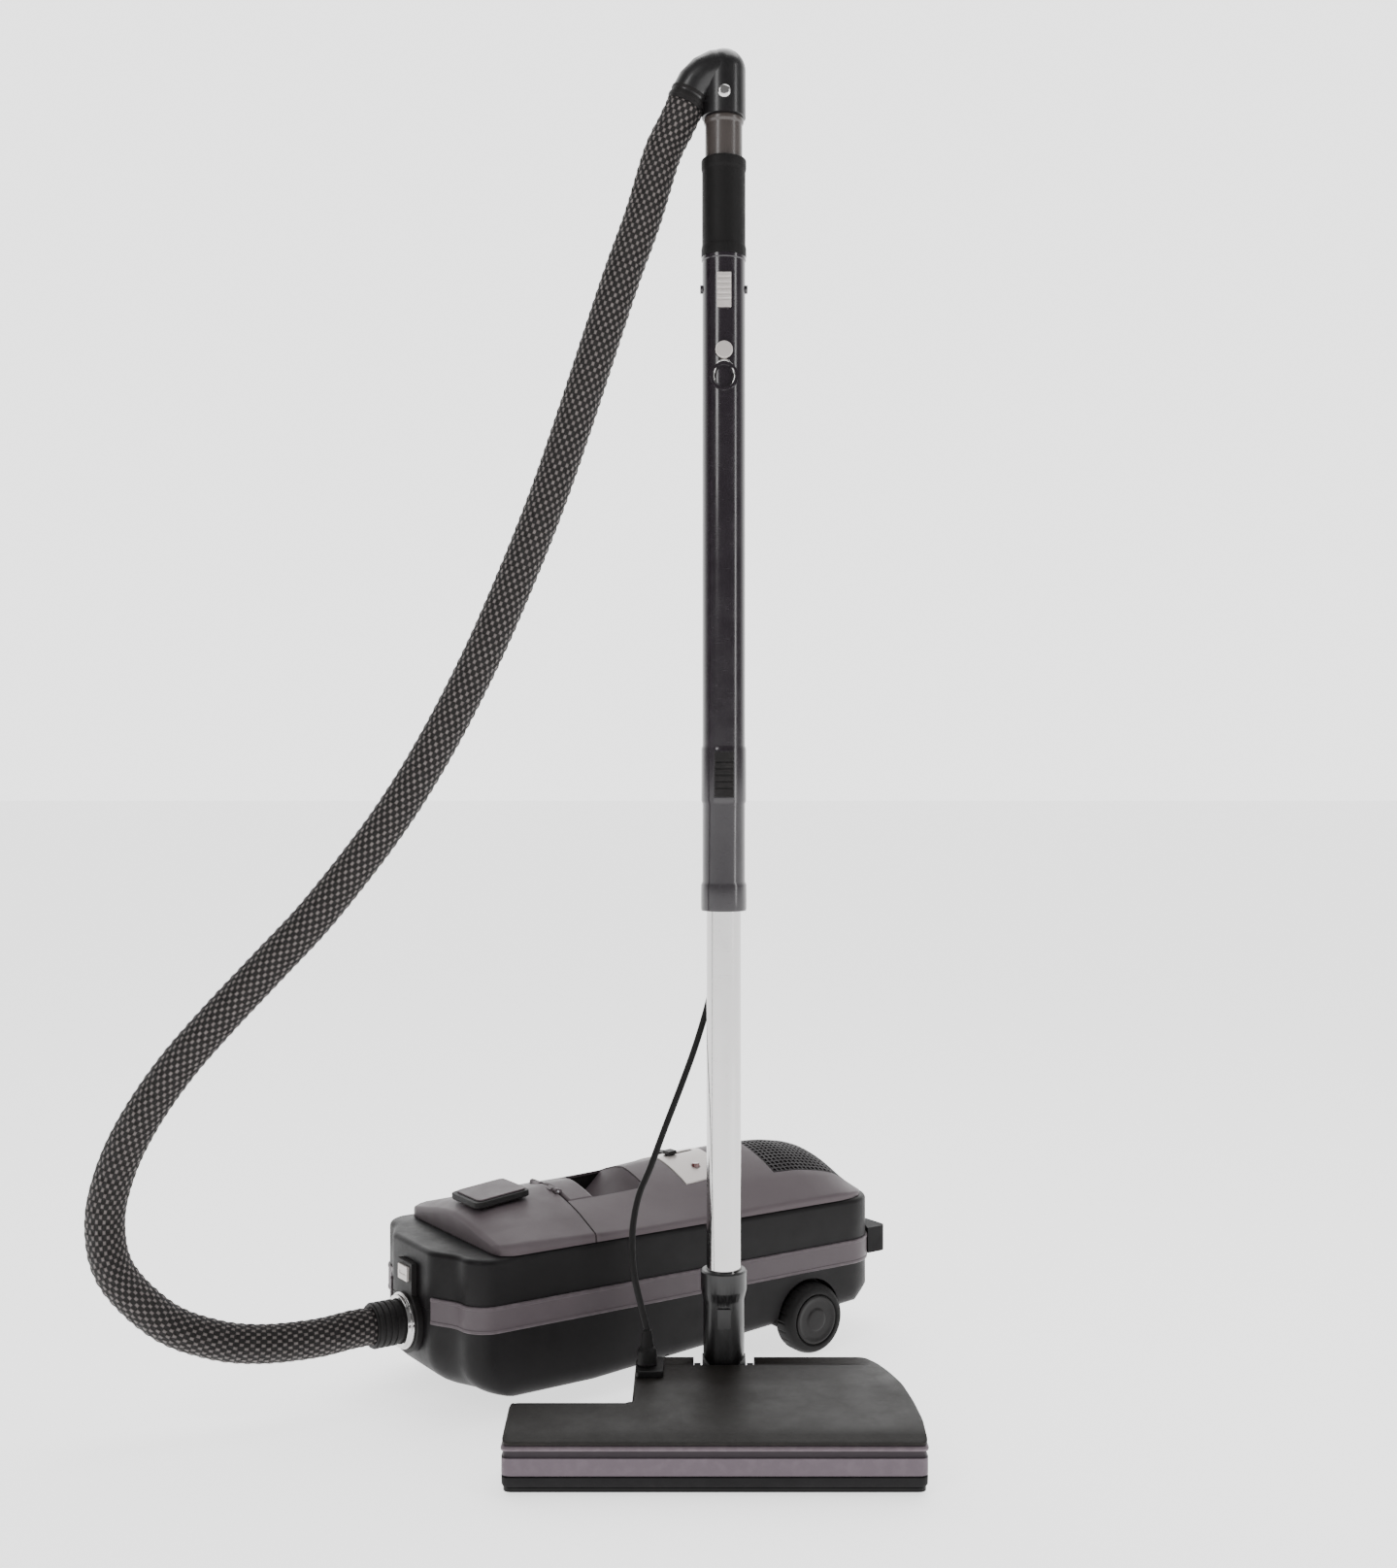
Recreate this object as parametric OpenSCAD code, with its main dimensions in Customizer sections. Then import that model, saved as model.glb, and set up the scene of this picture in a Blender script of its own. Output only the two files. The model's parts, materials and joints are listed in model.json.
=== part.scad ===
// Canister vacuum cleaner with a power nozzle, a telescopic wand and a braided hose.
// Frame: +Z up, floor at Z = 0, nozzle front towards -Y, origin under the middle of the cleaner.
// The canister is drawn in its own frame (+X to its rear) and turned into place.

/* [Canister body] */
// Length of the canister body, without nose bulge and rear bumper
body_l = 485; // [480:1:490]
// Width of the canister body
body_w = 208; // [206:1:210]
// Wall thickness of the housings
wall = 3; // [2.6:0.1:3.2]
// Height of the shoulder that the top cover stands on
shoulder_z = 151; // [150:0.5:152]
// Angle between the canister's long axis and the nozzle's front
can_yaw = 34; // [32:0.5:36]

/* [Wheels] */
// Radius of the rear wheels
wheel_r = 36; // [35:0.5:37]
// Width of the rear wheels
wheel_w = 28; // [26:0.5:29]
// Radius of the front caster's wheel
caster_r = 15; // [14:0.5:15]

/* [Wand] */
// Outside diameter of the chrome lower tube
tube_d = 32; // [31.5:0.1:32.2]
// Outside diameter of the sheath
sheath_d = 40; // [39.5:0.1:40.5]
// Height of the sheath's lower end
sheath_z0 = 475; // [470:1:480]
// Height of the sheath's upper end
sheath_z1 = 1081; // [1078:1:1084]
// Overall height of the cleaner
total_h = 1275; // [1272:1:1278]

/* [Power nozzle] */
// Width of the nozzle
nozzle_w = 356; // [354:1:358]
// Height of the nozzle's flat top
nozzle_h = 60; // [59:0.5:61]
// Radius of the brush roll with its bristles
brush_r = 22; // [21:0.5:22]

/* [Hose and cord] */
// Outside diameter of the braided hose
hose_d = 36; // [34:0.5:36]
// Diameter of the nozzle's power cord
cord_d = 6; // [5:0.5:6.5]

/* [Hidden] */
$fn = 64;

// Places of the two groups on the floor
can_x = -2;
can_y = 80;
wand_x = 85;
wand_y = -124;

// Clearances
gap = 0.3;
run = 0.08;
fixed = 0.05;

// Canister outline
hl = body_l / 2;
hw = body_w / 2;
front_r = 26;
rear_r = 40;
bulge = 16;
bulge_flat = 36;
bulge_end = hw - front_r;
nose_x = -hl - bulge;
nose_rx = 68.5;
nose_rz = 45;
nose_z = 62;
belly_z = 17;
belly_x = -110;
rear_z = 42;
split_z = 95.5;
band_z0 = 83;
band_z1 = 108;
band_out = 2;
deck_t = 3;

// Hose port on the nose
port_z = 77;
port_r = 31;
duct_r = 20;
port_hole_r = 22.5;
hose_x = nose_x - 41.5;

// Bag compartment and top cover
hood_x0 = -214;
hood_x1 = -111.8;
cover_x0 = -110.2;
cover_x1 = 236;
cover_z0 = shoulder_z + gap;
slope_w = 34;
top_table = [[-214, 173], [-195, 180], [-170, 184], [-110, 188], [-60, 191], [0, 196],
    [60, 201], [120, 203], [160, 202], [190, 197], [210, 190], [226, 180], [236, 170]];
edge_table = [[-214, 160], [-196, 162], [-150, 160], [-60, 157], [190, 158], [236, 154]];
drop_table = [[-214, 8], [-170, 12], [-110, 15], [-60, 19], [-20, 22], [190, 22], [236, 14]];
width_table = [[-214, 88], [-211, 95], [-205, 100], [-196, 102.3], [190, 102.3], [205, 100],
    [220, 94], [230, 84], [236, 70]];
hinge_x = -111;
hinge_z = 185.5;
hinge_r = 1.5;
knuckle_r = 3;
latch_x = -172;
latch_tilt = 6.5;
latch_travel = 8;
pocket_x1 = -19;
pocket_y = 46;
panel_x0 = 23;
panel_x1 = 77;
panel_y = 57;
panel_tilt = 4.6;
grille_x0 = 129;
grille_x1 = 225;
grille_y = 65;

// Motor compartment
motor_z = 92;
bulkhead_x = -30;
fan_x0 = -20;
fan_x1 = 21;
fan_r = 52;
can_r = 38;
can_x1 = 95;
shaft_r = 4;
reel_x = 175;
reel_r = 54;
reel_post_r = 6;
gland_y = -60;
gland_z = 103;
screw_spots = [[-222, -80], [-222, 80], [220, -70], [220, 70]];

// Rear wheels and caster
wheel_x = 146;
wheel_y0 = 89;
axle_r = 4;
well_r = wheel_r + 4;
caster_x = -165;
caster_trail = 12;
caster_hole_r = 36;
caster_top = 46;
stem_r = 5;
caster_pin_r = 2.5;

// Nozzle, in the wand's own frame: wand axis at X = 0, Y = 0
nz_x0 = -nozzle_w / 2 - 10;
nz_x1 = nozzle_w / 2 - 10;
nz_y0 = -174;
nz_y1 = 5;
nz_step_x = -82;
nz_step_y = -107;
nz_split = 43;
brush_y = -143;
brush_z = 24;
brush_core_r = 14;
brush_x0 = -163;
brush_x1 = 143;
belt_x0 = 121;
belt_x1 = 131;
belt_t = 2;
brush_pulley_r = 13;
motor_pulley_r = 7;
nz_motor_y = -70;
nz_motor_z = 34;
nz_motor_r = 21;
tilt_z = 44;
trunnion_r = 6;
nz_axle_y = -25;
nz_wheel_r = 15;
nz_axle_r = 3;
plug_x = -70;
plug_y = -38;
plug_z = 66;

// Wand
tube_r = tube_d / 2;
sheath_r = sheath_d / 2;
neck_r = 19;
neck_z1 = 142;
tube_z0 = 66;
tube_z1 = 565;
tube_travel = 150;
grip_z1 = 1172;
elbow_r = 20.5;
elbow_z0 = 1205;
handle_r = 17.3;
hose_end = [-36, 0, 1222];
hose_dir_a = 205.5;
cuff_l = 14;
cuff_r = 19;
lock_z0 = 580;
lock_z1 = 622;
button_z = 991;
slide_z0 = 1030;
slide_z1 = 1062;

// Colours
c_black = [0.14, 0.13, 0.135];
c_soft_black = [0.2, 0.19, 0.18];
c_mauve = [0.44, 0.40, 0.42];
c_band = [0.40, 0.37, 0.39];
c_bumper = [0.47, 0.42, 0.46];
c_silver = [0.76, 0.73, 0.71];
c_chrome = [0.85, 0.85, 0.86];
c_steel = [0.6, 0.6, 0.62];
c_hose = [0.25, 0.22, 0.22];
c_sheath = [0.22, 0.19, 0.21];
c_paper = [0.82, 0.76, 0.64];
c_white = [0.88, 0.87, 0.84];
c_red = [0.6, 0.1, 0.08];

// ---------------------------------------------------------------- helpers

module can_frame() {
    translate([can_x, can_y, 0]) rotate([0, 0, can_yaw]) children();
}

module wand_frame() {
    translate([wand_x, wand_y, 0]) children();
}

// A cylinder along X, from x0 to x1, centred on y, z
module rod_x(x0, x1, r, y = 0, z = 0) {
    translate([x0, y, z]) rotate([0, 90, 0]) cylinder(h = x1 - x0, r = r);
}

// A cylinder along Y, from y0 to y1, centred on x, z
module rod_y(y0, y1, r, x = 0, z = 0) {
    translate([x, y1, z]) rotate([90, 0, 0]) cylinder(h = y1 - y0, r = r);
}

// A box from its low corner to its high corner
module block(lo, hi) {
    translate(lo) cube(hi - lo);
}

// A copy on each side of the XZ plane
module both_sides() {
    children();
    mirror([0, 1, 0]) children();
}

function arc(c, rx, ry, a0, a1, n) =
    [for (i = [0:n]) let (a = a0 + (a1 - a0) * i / n) [c[0] + rx * cos(a), c[1] + ry * sin(a)]];

// A rectangle's outline from its low to its high corner, with rounded corners
function rounded_rect(lo, hi, r) = concat(
    arc([hi[0] - r, lo[1] + r], r, r, -90, 0, 6), arc([hi[0] - r, hi[1] - r], r, r, 0, 90, 6),
    arc([lo[0] + r, hi[1] - r], r, r, 90, 180, 6), arc([lo[0] + r, lo[1] + r], r, r, 180, 270, 6)
);

function nose_at(y) =
    let (t = (abs(y) - bulge_flat) / (bulge_end - bulge_flat))
    bulge * (abs(y) <= bulge_flat ? 1 : 0.5 + 0.5 * cos(180 * t));

// Canister outline seen from above, inset by g
function plan(g) = concat(
    arc([hl - rear_r, -hw + rear_r], rear_r - g, rear_r - g, -90, 0, 8),
    arc([hl - rear_r, hw - rear_r], rear_r - g, rear_r - g, 0, 90, 8),
    arc([-hl + front_r, hw - front_r], front_r - g, front_r - g, 90, 180, 6),
    [for (i = [1:15]) let (y = bulge_end * (1 - i / 8)) [-hl + g - nose_at(y), y]],
    arc([-hl + front_r, -hw + front_r], front_r - g, front_r - g, 180, 270, 6)
);

// Canister side outline below height z1, inset by g: nose curve, belly, rising tail
function side_outline(g, z1) = concat(
    [[nose_x - 10, z1], [nose_x - 10, nose_z]],
    arc([nose_x + nose_rx, nose_z], nose_rx - g, nose_rz - g, 180, 270, 10),
    [[belly_x, belly_z + g], [hl - 14, rear_z - 1 + g], [hl + 1, rear_z + 14 + g], [hl + 1, z1]]
);

// The canister's lower body as one solid, inset by g, up to height z1
module tub(g, z1) {
    intersection() {
        linear_extrude(z1) polygon(plan(g));
        translate([0, hw + 10, 0]) rotate([90, 0, 0]) linear_extrude(body_w + 20)
            polygon(side_outline(g, z1));
    }
}

// One section of the top cover at station x, inset by g: upright edge, shoulder and crowned top
function cover_section(x, g) =
    let (w = lookup(x, width_table) - g, zt = lookup(x, top_table) - g,
         ze = lookup(x, edge_table) - g * 0.6, drop = lookup(x, drop_table), c = w - slope_w + g,
         half = [for (t = [1:-0.25:0.25]) [c * t, zt - drop * pow(t, 1.5)]])
    concat([[-w, cover_z0 - g], [-w, ze]], [for (p = half) [-p[0], p[1]]], [[0, zt]],
           [for (i = [3:-1:0]) half[i]], [[w, ze], [w, cover_z0 - g]]);

cover_stations = [-214, -211, -205, -196, -183, -170, -140, -110, -60, 0, 60, 120, 160, 175, 190,
    205, 213, 220, 226, 231, 236];

// The top cover's whole outer form as one solid, inset by g
module cover_form(g) {
    n = len(cover_stations);
    m = 13;
    crest = 6;
    shrink = 1 - g / 225;
    last = (n - 1) * m;
    pts = [for (x = cover_stations) for (p = cover_section(x, g)) [x * shrink, p[0], p[1]]];
    sides = [for (i = [0:n - 2]) for (j = [0:m - 1]) let (k = (j + 1) % m)
        each [[i * m + j, (i + 1) * m + k, (i + 1) * m + j], [i * m + j, i * m + k, (i + 1) * m + k]]];
    ends = [for (k = [1:m - 2]) let (i = (crest + k) % m, j = (crest + k + 1) % m)
        each [[crest, j, i], [last + crest, last + i, last + j]]];
    polyhedron(points = pts, faces = concat(sides, ends));
}

// A stretch of the cover's shell from x0 to x1, open below
module cover_shell(x0, x1) {
    difference() {
        intersection() {
            cover_form(0);
            block([x0, -hw, shoulder_z], [x1, hw, 220]);
        }
        intersection() {
            cover_form(wall);
            block([x0 + wall, -hw, shoulder_z - 5], [x1 - wall, hw, 220]);
        }
    }
}

// A patch of the cover's skin between two depths
module cover_patch(x0, x1, y, out, depth) {
    intersection() {
        difference() {
            cover_form(-out);
            cover_form(depth);
        }
        block([x0, -y, 153], [x1, y, 220]);
    }
}

// Nozzle outline seen from above, inset by g
function nozzle_plan(g) = concat(
    arc([nz_x0 + 8, nz_y0 + 8], 8 - g, 8 - g, 180, 270, 4),
    arc([nz_x1 - 8, nz_y0 + 8], 8 - g, 8 - g, 270, 360, 4),
    [[nz_x1 - g, -135], [nz_x1 - 3 - g, -105], [nz_x1 - 9 - g, -70], [nz_x1 - 17 - g, -40],
     [nz_x1 - 26 - g, -15], [nz_x1 - 36 - g, nz_y1 - g], [nz_step_x + g, nz_y1 - g],
     [nz_step_x + g, nz_step_y - g], [nz_x0 + g, nz_step_y - g]]
);

module nozzle_slab(g, z0, z1) {
    translate([0, 0, z0]) linear_extrude(z1 - z0) polygon(nozzle_plan(g));
}

// Space under the nozzle's sloped top, lowered by g
module nozzle_top_form(g) {
    h = nozzle_h - g;
    rotate([90, 0, 90]) translate([0, 0, -200]) linear_extrude(400)
        polygon([[-180, 30], [-180, h - 15], [nz_y0 + 4, h - 12], [nz_y0 + 14, h - 10],
                 [-70, h], [-20, h], [20, h - 2], [20, 30]]);
}

// Smooth route through points p: Catmull-Rom, steps pieces for each span
function spline_at(p, i, t) =
    let (a = p[max(i - 1, 0)], b = p[i], c = p[i + 1], d = p[min(i + 2, len(p) - 1)])
    0.5 * (2 * b + (c - a) * t + (2 * a - 5 * b + 4 * c - d) * t * t
           + (3 * b - a - 3 * c + d) * t * t * t);
function spline(p, steps) = concat(
    [for (i = [0:len(p) - 2]) for (s = [0:steps - 1]) spline_at(p, i, s / steps)],
    [p[len(p) - 1]]
);
function unit(v) = v / norm(v);

// A round tube along the points q; first and last are its end directions
module swept_tube(q, r, sides, first, last) {
    n = len(q);
    dirs = [for (i = [0:n - 1]) i == 0 ? first : i == n - 1 ? last : unit(q[i + 1] - q[i - 1])];
    pts = [for (i = [0:n - 1]) let (u = unit(cross(dirs[i], [0, 1, 0])), v = cross(dirs[i], u))
        for (j = [0:sides - 1]) q[i] + r * (cos(360 * j / sides) * u + sin(360 * j / sides) * v)];
    skin = [for (i = [0:n - 2]) for (j = [0:sides - 1]) let (k = (j + 1) % sides)
        each [[i * sides + j, (i + 1) * sides + j, (i + 1) * sides + k],
              [i * sides + j, (i + 1) * sides + k, i * sides + k]]];
    caps = [[for (j = [0:sides - 1]) j], [for (j = [sides - 1:-1:0]) (n - 1) * sides + j]];
    polyhedron(points = pts, faces = concat(skin, caps));
}

// ---------------------------------------------------------------- routes

// A point on the hose port's axis, out from the connector's end
function port_point(out) =
    [can_x + (hose_x - out) * cos(can_yaw), can_y + (hose_x - out) * sin(can_yaw), port_z];
// A point on the elbow's outlet axis, down from the cuff's end
function elbow_point(out) = [
    wand_x + hose_end[0] + out * sin(hose_dir_a), wand_y, hose_end[2] + out * cos(hose_dir_a)];

hose_route = concat([port_point(0.1), port_point(20)], [
    [-297, -118, 75], [-341, -140, 77], [-381, -155, 86], [-424, -166, 107], [-463, -174, 150],
    [-472, -178, 197], [-462, -180, 244], [-440, -181, 290], [-407, -181, 338],
    [-368, -180, 383], [-323, -178, 431], [-278, -176, 480], [-220, -171, 556],
    [-177, -166, 626], [-136, -161, 707], [-102, -155, 787], [-75, -150, 858],
    [-51, -145, 930], [-27, -139, 1006], [-9, -135, 1062], [10, -130, 1117]
], [elbow_point(50), elbow_point(20), elbow_point(0.1)]);

cord_route = [
    [81, -102, 470], [81, -102, 452], [79, -103, 425], [71, -106, 388], [59, -111, 348],
    [45, -117, 310], [30, -124, 272], [17, -132, 238], [7, -140, 215], [2, -148, 192],
    [1, -154, 170], [3, -159, 146], [9, -162, 120], [wand_x + plug_x, wand_y + plug_y, 97]
];

// ---------------------------------------------------------------- canister housings

module wheel_well(r, y0) {
    both_sides() rod_y(y0, hw + 20, r, wheel_x, wheel_r);
}

module lower_fittings() {
    intersection() {
        tub(0.5, split_z);
        union() {
            wheel_well(well_r + wall, wheel_y0 - 4 - wall);
            for (p = screw_spots) translate([p[0], p[1], 0]) cylinder(h = split_z, r = 7);
            translate([caster_x, 0, 0]) cylinder(h = caster_top + 4, r = caster_hole_r + wall);
            translate([caster_x, 0, 0]) cylinder(h = caster_top + 14, r = 9);
        }
    }
    rod_y(-wheel_y0 + 5, wheel_y0 - 5, 8, wheel_x, wheel_r);
}

module lower_cuts() {
    wheel_well(well_r, wheel_y0 - 4);
    rod_y(-wheel_y0, wheel_y0, axle_r + fixed, wheel_x, wheel_r);
    for (p = screw_spots) translate([p[0], p[1], 0]) {
        cylinder(h = 45, r = 4.5);
        cylinder(h = split_z + 1, r = 2.3);
    }
    translate([caster_x, 0, -1]) cylinder(h = caster_top + 1, r = caster_hole_r);
    translate([caster_x, 0, 0]) cylinder(h = caster_top + 20, r = stem_r + run);
    rod_x(nose_x - 5, nose_x + 10, port_hole_r, 0, port_z);
}

module lower_housing() {
    color(c_black) can_frame() difference() {
        union() {
            difference() {
                tub(0, split_z);
                tub(wall, split_z + 1);
            }
            lower_fittings();
        }
        lower_cuts();
    }
}

module upper_housing() {
    color(c_black) can_frame() difference() {
        union() {
            difference() {
                translate([0, 0, split_z + 0.2]) linear_extrude(shoulder_z - split_z - 0.2)
                    polygon(plan(0));
                translate([0, 0, split_z - 1]) linear_extrude(shoulder_z - split_z - deck_t + 1)
                    polygon(plan(wall));
            }
            for (p = screw_spots)
                translate([p[0], p[1], split_z + 0.2]) cylinder(h = shoulder_z - split_z - 2, r = 7);
        }
        block([-202, -84, 140], [-129, 84, 160]);
        block([138, -56, 140], [216, 56, 160]);
        block([20, -45, 140], [80, 45, 160]);
        for (p = screw_spots) translate([p[0], p[1], 80]) cylinder(h = 42, r = 2 + fixed);
        rod_x(nose_x - 5, nose_x + 10, port_hole_r, 0, port_z);
        rod_x(hl - 10, hl + 5, 6.3, gland_y, gland_z);
    }
}

module trim_band() {
    color(c_band) can_frame() difference() {
        translate([0, 0, band_z0]) linear_extrude(band_z1 - band_z0) polygon(plan(-band_out));
        translate([0, 0, band_z0 - 1]) linear_extrude(band_z1 - band_z0 + 2) polygon(plan(-0.15));
        block([nose_x - 10, -port_r - 9, band_z0 - 2], [nose_x + 12, port_r + 9, band_z1 + 2]);
        rod_x(hl - 10, hl + 5, 6.3, gland_y, gland_z);
    }
}

module rear_bumper() {
    x0 = hl + band_out + 0.2;
    color(c_black) can_frame() difference() {
        translate([0, 0, 86]) linear_extrude(27) polygon(concat(
            arc([hl + 12, -82], 8, 8, -90, 0, 4), arc([hl + 12, 82], 8, 8, 0, 90, 4),
            [[hl - 6, 90], [hl - 6, -90]]));
        translate([0, 0, 80]) linear_extrude(40) polygon(plan(-band_out - 0.2));
        rod_x(x0 - 1, hl + 30, 6.3, gland_y, gland_z);
    }
}

module cord_gland() {
    color(c_soft_black) can_frame() difference() {
        union() {
            rod_x(hl - 3.5, hl + 22, 6, gland_y, gland_z);
            rod_x(hl + 20.2, hl + 23, 8, gland_y, gland_z);
        }
        rod_x(hl - 10, hl + 40, 4.2, gland_y, gland_z);
    }
}

module housing_screws() {
    color(c_steel) can_frame() for (p = screw_spots) translate([p[0], p[1], 41]) {
        difference() {
            cylinder(h = 4, r = 4);
            block([-2.6, -0.5, -1], [2.6, 0.5, 2]);
            block([-0.5, -2.6, -1], [0.5, 2.6, 2]);
        }
        translate([0, 0, 3.5]) cylinder(h = 74, r = 2);
    }
}

// ---------------------------------------------------------------- hose port

module port_plate() {
    x1 = nose_x - 0.2;
    color(c_soft_black) can_frame() difference() {
        union() {
            rod_x(x1 - 6, x1, port_r, 0, port_z);
            block([x1 - 6, -16, port_z], [x1, 16, 134]);
        }
        rod_x(x1 - 10, x1 + 5, duct_r + 1.2, 0, port_z);
        block([x1 - 10, -10.4, 115.6], [x1 - 2, 10.4, 130.4]);
        block([x1 - 3, -4.4, 119.6], [x1 + 1, 4.4, 126.4]);
    }
}

module port_ring() {
    color(c_chrome) can_frame() difference() {
        union() {
            rod_x(nose_x - 13.5, nose_x - 6.4, 25, 0, port_z);
            rod_x(nose_x - 10, nose_x - 6.4, 27, 0, port_z);
        }
        rod_x(nose_x - 20, nose_x, duct_r + 1.2, 0, port_z);
    }
}

module hose_release_button() {
    color(c_silver) can_frame() difference() {
        union() {
            block([nose_x - 8.5, -10, 116], [nose_x - 4.8, 10, 130]);
            block([nose_x - 5, -4, 120], [nose_x - 2.6, 4, 126]);
        }
        block([nose_x - 10, -7, 121.5], [nose_x - 7.8, 7, 124.5]);
    }
}

module inlet_duct() {
    color(c_soft_black) can_frame() difference() {
        union() {
            rod_x(nose_x + 0.3, -216, duct_r + 2.2, 0, port_z);
            rod_x(nose_x + wall + 2, nose_x + wall + 4, duct_r + 4.3, 0, port_z);
        }
        rod_x(nose_x - 5, -210, duct_r, 0, port_z);
    }
}

module hose_connector() {
    color(c_soft_black) can_frame() difference() {
        union() {
            rod_x(hose_x, nose_x - 8, duct_r + 0.4, 0, port_z);
            rod_x(nose_x - 9, nose_x + 20, duct_r - run, 0, port_z);
            for (i = [0:3]) rod_x(hose_x + 2 + 6 * i, hose_x + 5 + 6 * i, duct_r + 1.6, 0, port_z);
        }
        rod_x(hose_x - 1, nose_x + 30, 15.5, 0, port_z);
    }
}

// ---------------------------------------------------------------- top of the canister

// Hinge barrels from y0 to y1 with an arm towards +X or -X
module knuckle(y0, y1, arm) {
    both_sides() difference() {
        union() {
            rod_y(y0, y1, knuckle_r, hinge_x, hinge_z);
            block([min(hinge_x, hinge_x + arm), y0, hinge_z - 2],
                  [max(hinge_x, hinge_x + arm), y1, hinge_z + 1.5]);
        }
        rod_y(y0 - 1, y1 + 1, hinge_r + (arm < 0 ? run : fixed), hinge_x, hinge_z);
    }
}

module top_cover() {
    color(c_mauve) can_frame() difference() {
        union() {
            cover_shell(cover_x0, cover_x1 + 5);
            intersection() {
                cover_form(1);
                difference() {
                    block([cover_x0, -pocket_y - wall, cover_z0], [pocket_x1 + wall, pocket_y + wall, 220]);
                    block([-200, -pocket_y, 100], [pocket_x1, pocket_y, 230]);
                }
            }
        }
        block([-200, -pocket_y, 100], [pocket_x1, pocket_y, 230]);
        block([panel_x0 - 0.5, -panel_y - 0.5, 165], [panel_x1 + 0.5, panel_y + 0.5, 230]);
        block([grille_x0 - 0.5, -grille_y - 0.5, 153], [grille_x1 + 0.5, grille_y + 0.5, 230]);
    }
}

module carry_handle() {
    color(c_mauve) can_frame() {
        difference() {
            intersection() {
                translate([0, pocket_y - 0.5, 0]) rotate([90, 0, 0]) linear_extrude(2 * pocket_y - 1)
                    polygon([[-108.2, 174], [-106, 172], [-83, 172], [-80, 175], [-80, 210],
                             [-108.2, 210]]);
                cover_form(0.3);
            }
            both_sides() block([-112, 7.6, hinge_z - 5], [hinge_x + 3.5, 19.8, 220]);
        }
        both_sides() block([-104, 38, cover_z0], [-82, pocket_y - 0.5, 173]);
        knuckle(20, 27, 6);
    }
}

module panel_frame() {
    translate([50, 0, lookup(50, top_table)]) rotate([0, -panel_tilt, 0]) children();
}

module control_panel() {
    color(c_silver) can_frame() difference() {
        cover_patch(panel_x0, panel_x1, panel_y, 0.8, 2.4);
        panel_frame() block([-17, -3.4, -10], [17, 3.4, 10]);
        translate([50, 34, 150]) cylinder(h = 80, r = 7.4);
        translate([50, -34, 150]) cylinder(h = 80, r = 4 + fixed);
    }
}

module power_slider() {
    color(c_black) can_frame() panel_frame() {
        block([-15, -6, 1.2], [-5, 6, 5]);
        block([-14, -3, -7], [-6, 3, 1.5]);
        block([-14, -5.5, -9], [-6, 5.5, -6]);
    }
}

module indicator_lens() {
    color(c_red) can_frame() translate([50, -34, 185]) {
        cylinder(h = 11, r = 4);
        cylinder(h = 2.2, r = 6);
    }
}

module rewind_button() {
    color(c_black) can_frame() translate([50, 34, 177]) {
        translate([0, 0, 6]) cylinder(h = 13.5, r = 7);
        cylinder(h = 6.5, r = 4);
    }
}

module exhaust_grille() {
    color(c_soft_black) can_frame() difference() {
        cover_patch(grille_x0, grille_x1, grille_y, 0, 2.6);
        for (i = [0:9]) both_sides()
            block([grille_x0 + 6 + 9 * i, 4, 160], [grille_x0 + 10 + 9 * i, grille_y - 6, 215]);
    }
}

module exhaust_filter() {
    color(c_white) can_frame() difference() {
        block([133, -61, shoulder_z + 0.2], [221, 61, 158]);
        block([138, -56, 155], [216, 56, 170]);
    }
}

module bag_hood() {
    slot_x0 = -10.6 - latch_travel;
    color(c_mauve) can_frame() difference() {
        union() {
            difference() {
                cover_shell(hood_x0 - 5, hood_x1);
                both_sides() block([hinge_x - 3.5, 19.7, hinge_z - 5], [hinge_x, 28.6, 220]);
                rod_y(-19.8, 19.8, knuckle_r - 0.5, hinge_x, hinge_z);
            }
            knuckle(8, 19.5, hood_x1 - hinge_x - 2.4);
        }
        latch_frame() block([slot_x0, -8.6, -20], [10.6, 8.6, 10]);
    }
}

module latch_frame() {
    translate([latch_x, 0, lookup(latch_x, top_table)]) rotate([0, -latch_tilt, 0]) children();
}

module hood_latch() {
    color(c_soft_black) can_frame() latch_frame() {
        translate([0, 30, 0]) rotate([90, 0, 0]) linear_extrude(60)
            polygon([[-30, 1.2], [30, 1.2], [30, 4], [26, 7.5], [-24, 8.5], [-30, 7]]);
        block([-10, -8, -8], [10, 8, 2]);
        block([-10, -14, -11], [10, 14, -7.5]);
    }
}

module hood_hinge_pin() {
    color(c_steel) can_frame() rod_y(-28, 28, hinge_r, hinge_x, hinge_z);
}

module hood_gasket() {
    color(c_black) can_frame() difference() {
        block([-207, -89, shoulder_z + 0.1], [-124, 89, 153]);
        block([-204, -86, 150], [-127, 86, 155]);
    }
}

// ---------------------------------------------------------------- inside the canister

module dust_bag() {
    lo = [-213.5, -93, 66.5];
    hi = [-37, 93, 143];
    color(c_paper) can_frame() intersection() {
        linear_extrude(200) polygon(rounded_rect([lo[0], lo[1]], [hi[0], hi[1]], 30));
        translate([0, 150, 0]) rotate([90, 0, 0]) linear_extrude(300)
            polygon(rounded_rect([lo[0] - 0.5, lo[2]], [hi[0] + 0.5, hi[2]], 24));
        rotate([90, 0, 90]) translate([0, 0, -300]) linear_extrude(400)
            polygon(rounded_rect([lo[1] - 0.5, lo[2] - 0.5], [hi[1] + 0.5, hi[2] + 0.5], 26));
    }
}

module bag_collar() {
    color(c_paper) can_frame() difference() {
        block([-222, -45, 42], [-219, 45, 122]);
        rod_x(-230, -210, duct_r + 2.5, 0, port_z);
    }
}

module motor_filter() {
    color(c_white) can_frame() block([bulkhead_x - 5.5, -60, 40], [bulkhead_x - 0.2, 60, 143]);
}

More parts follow.
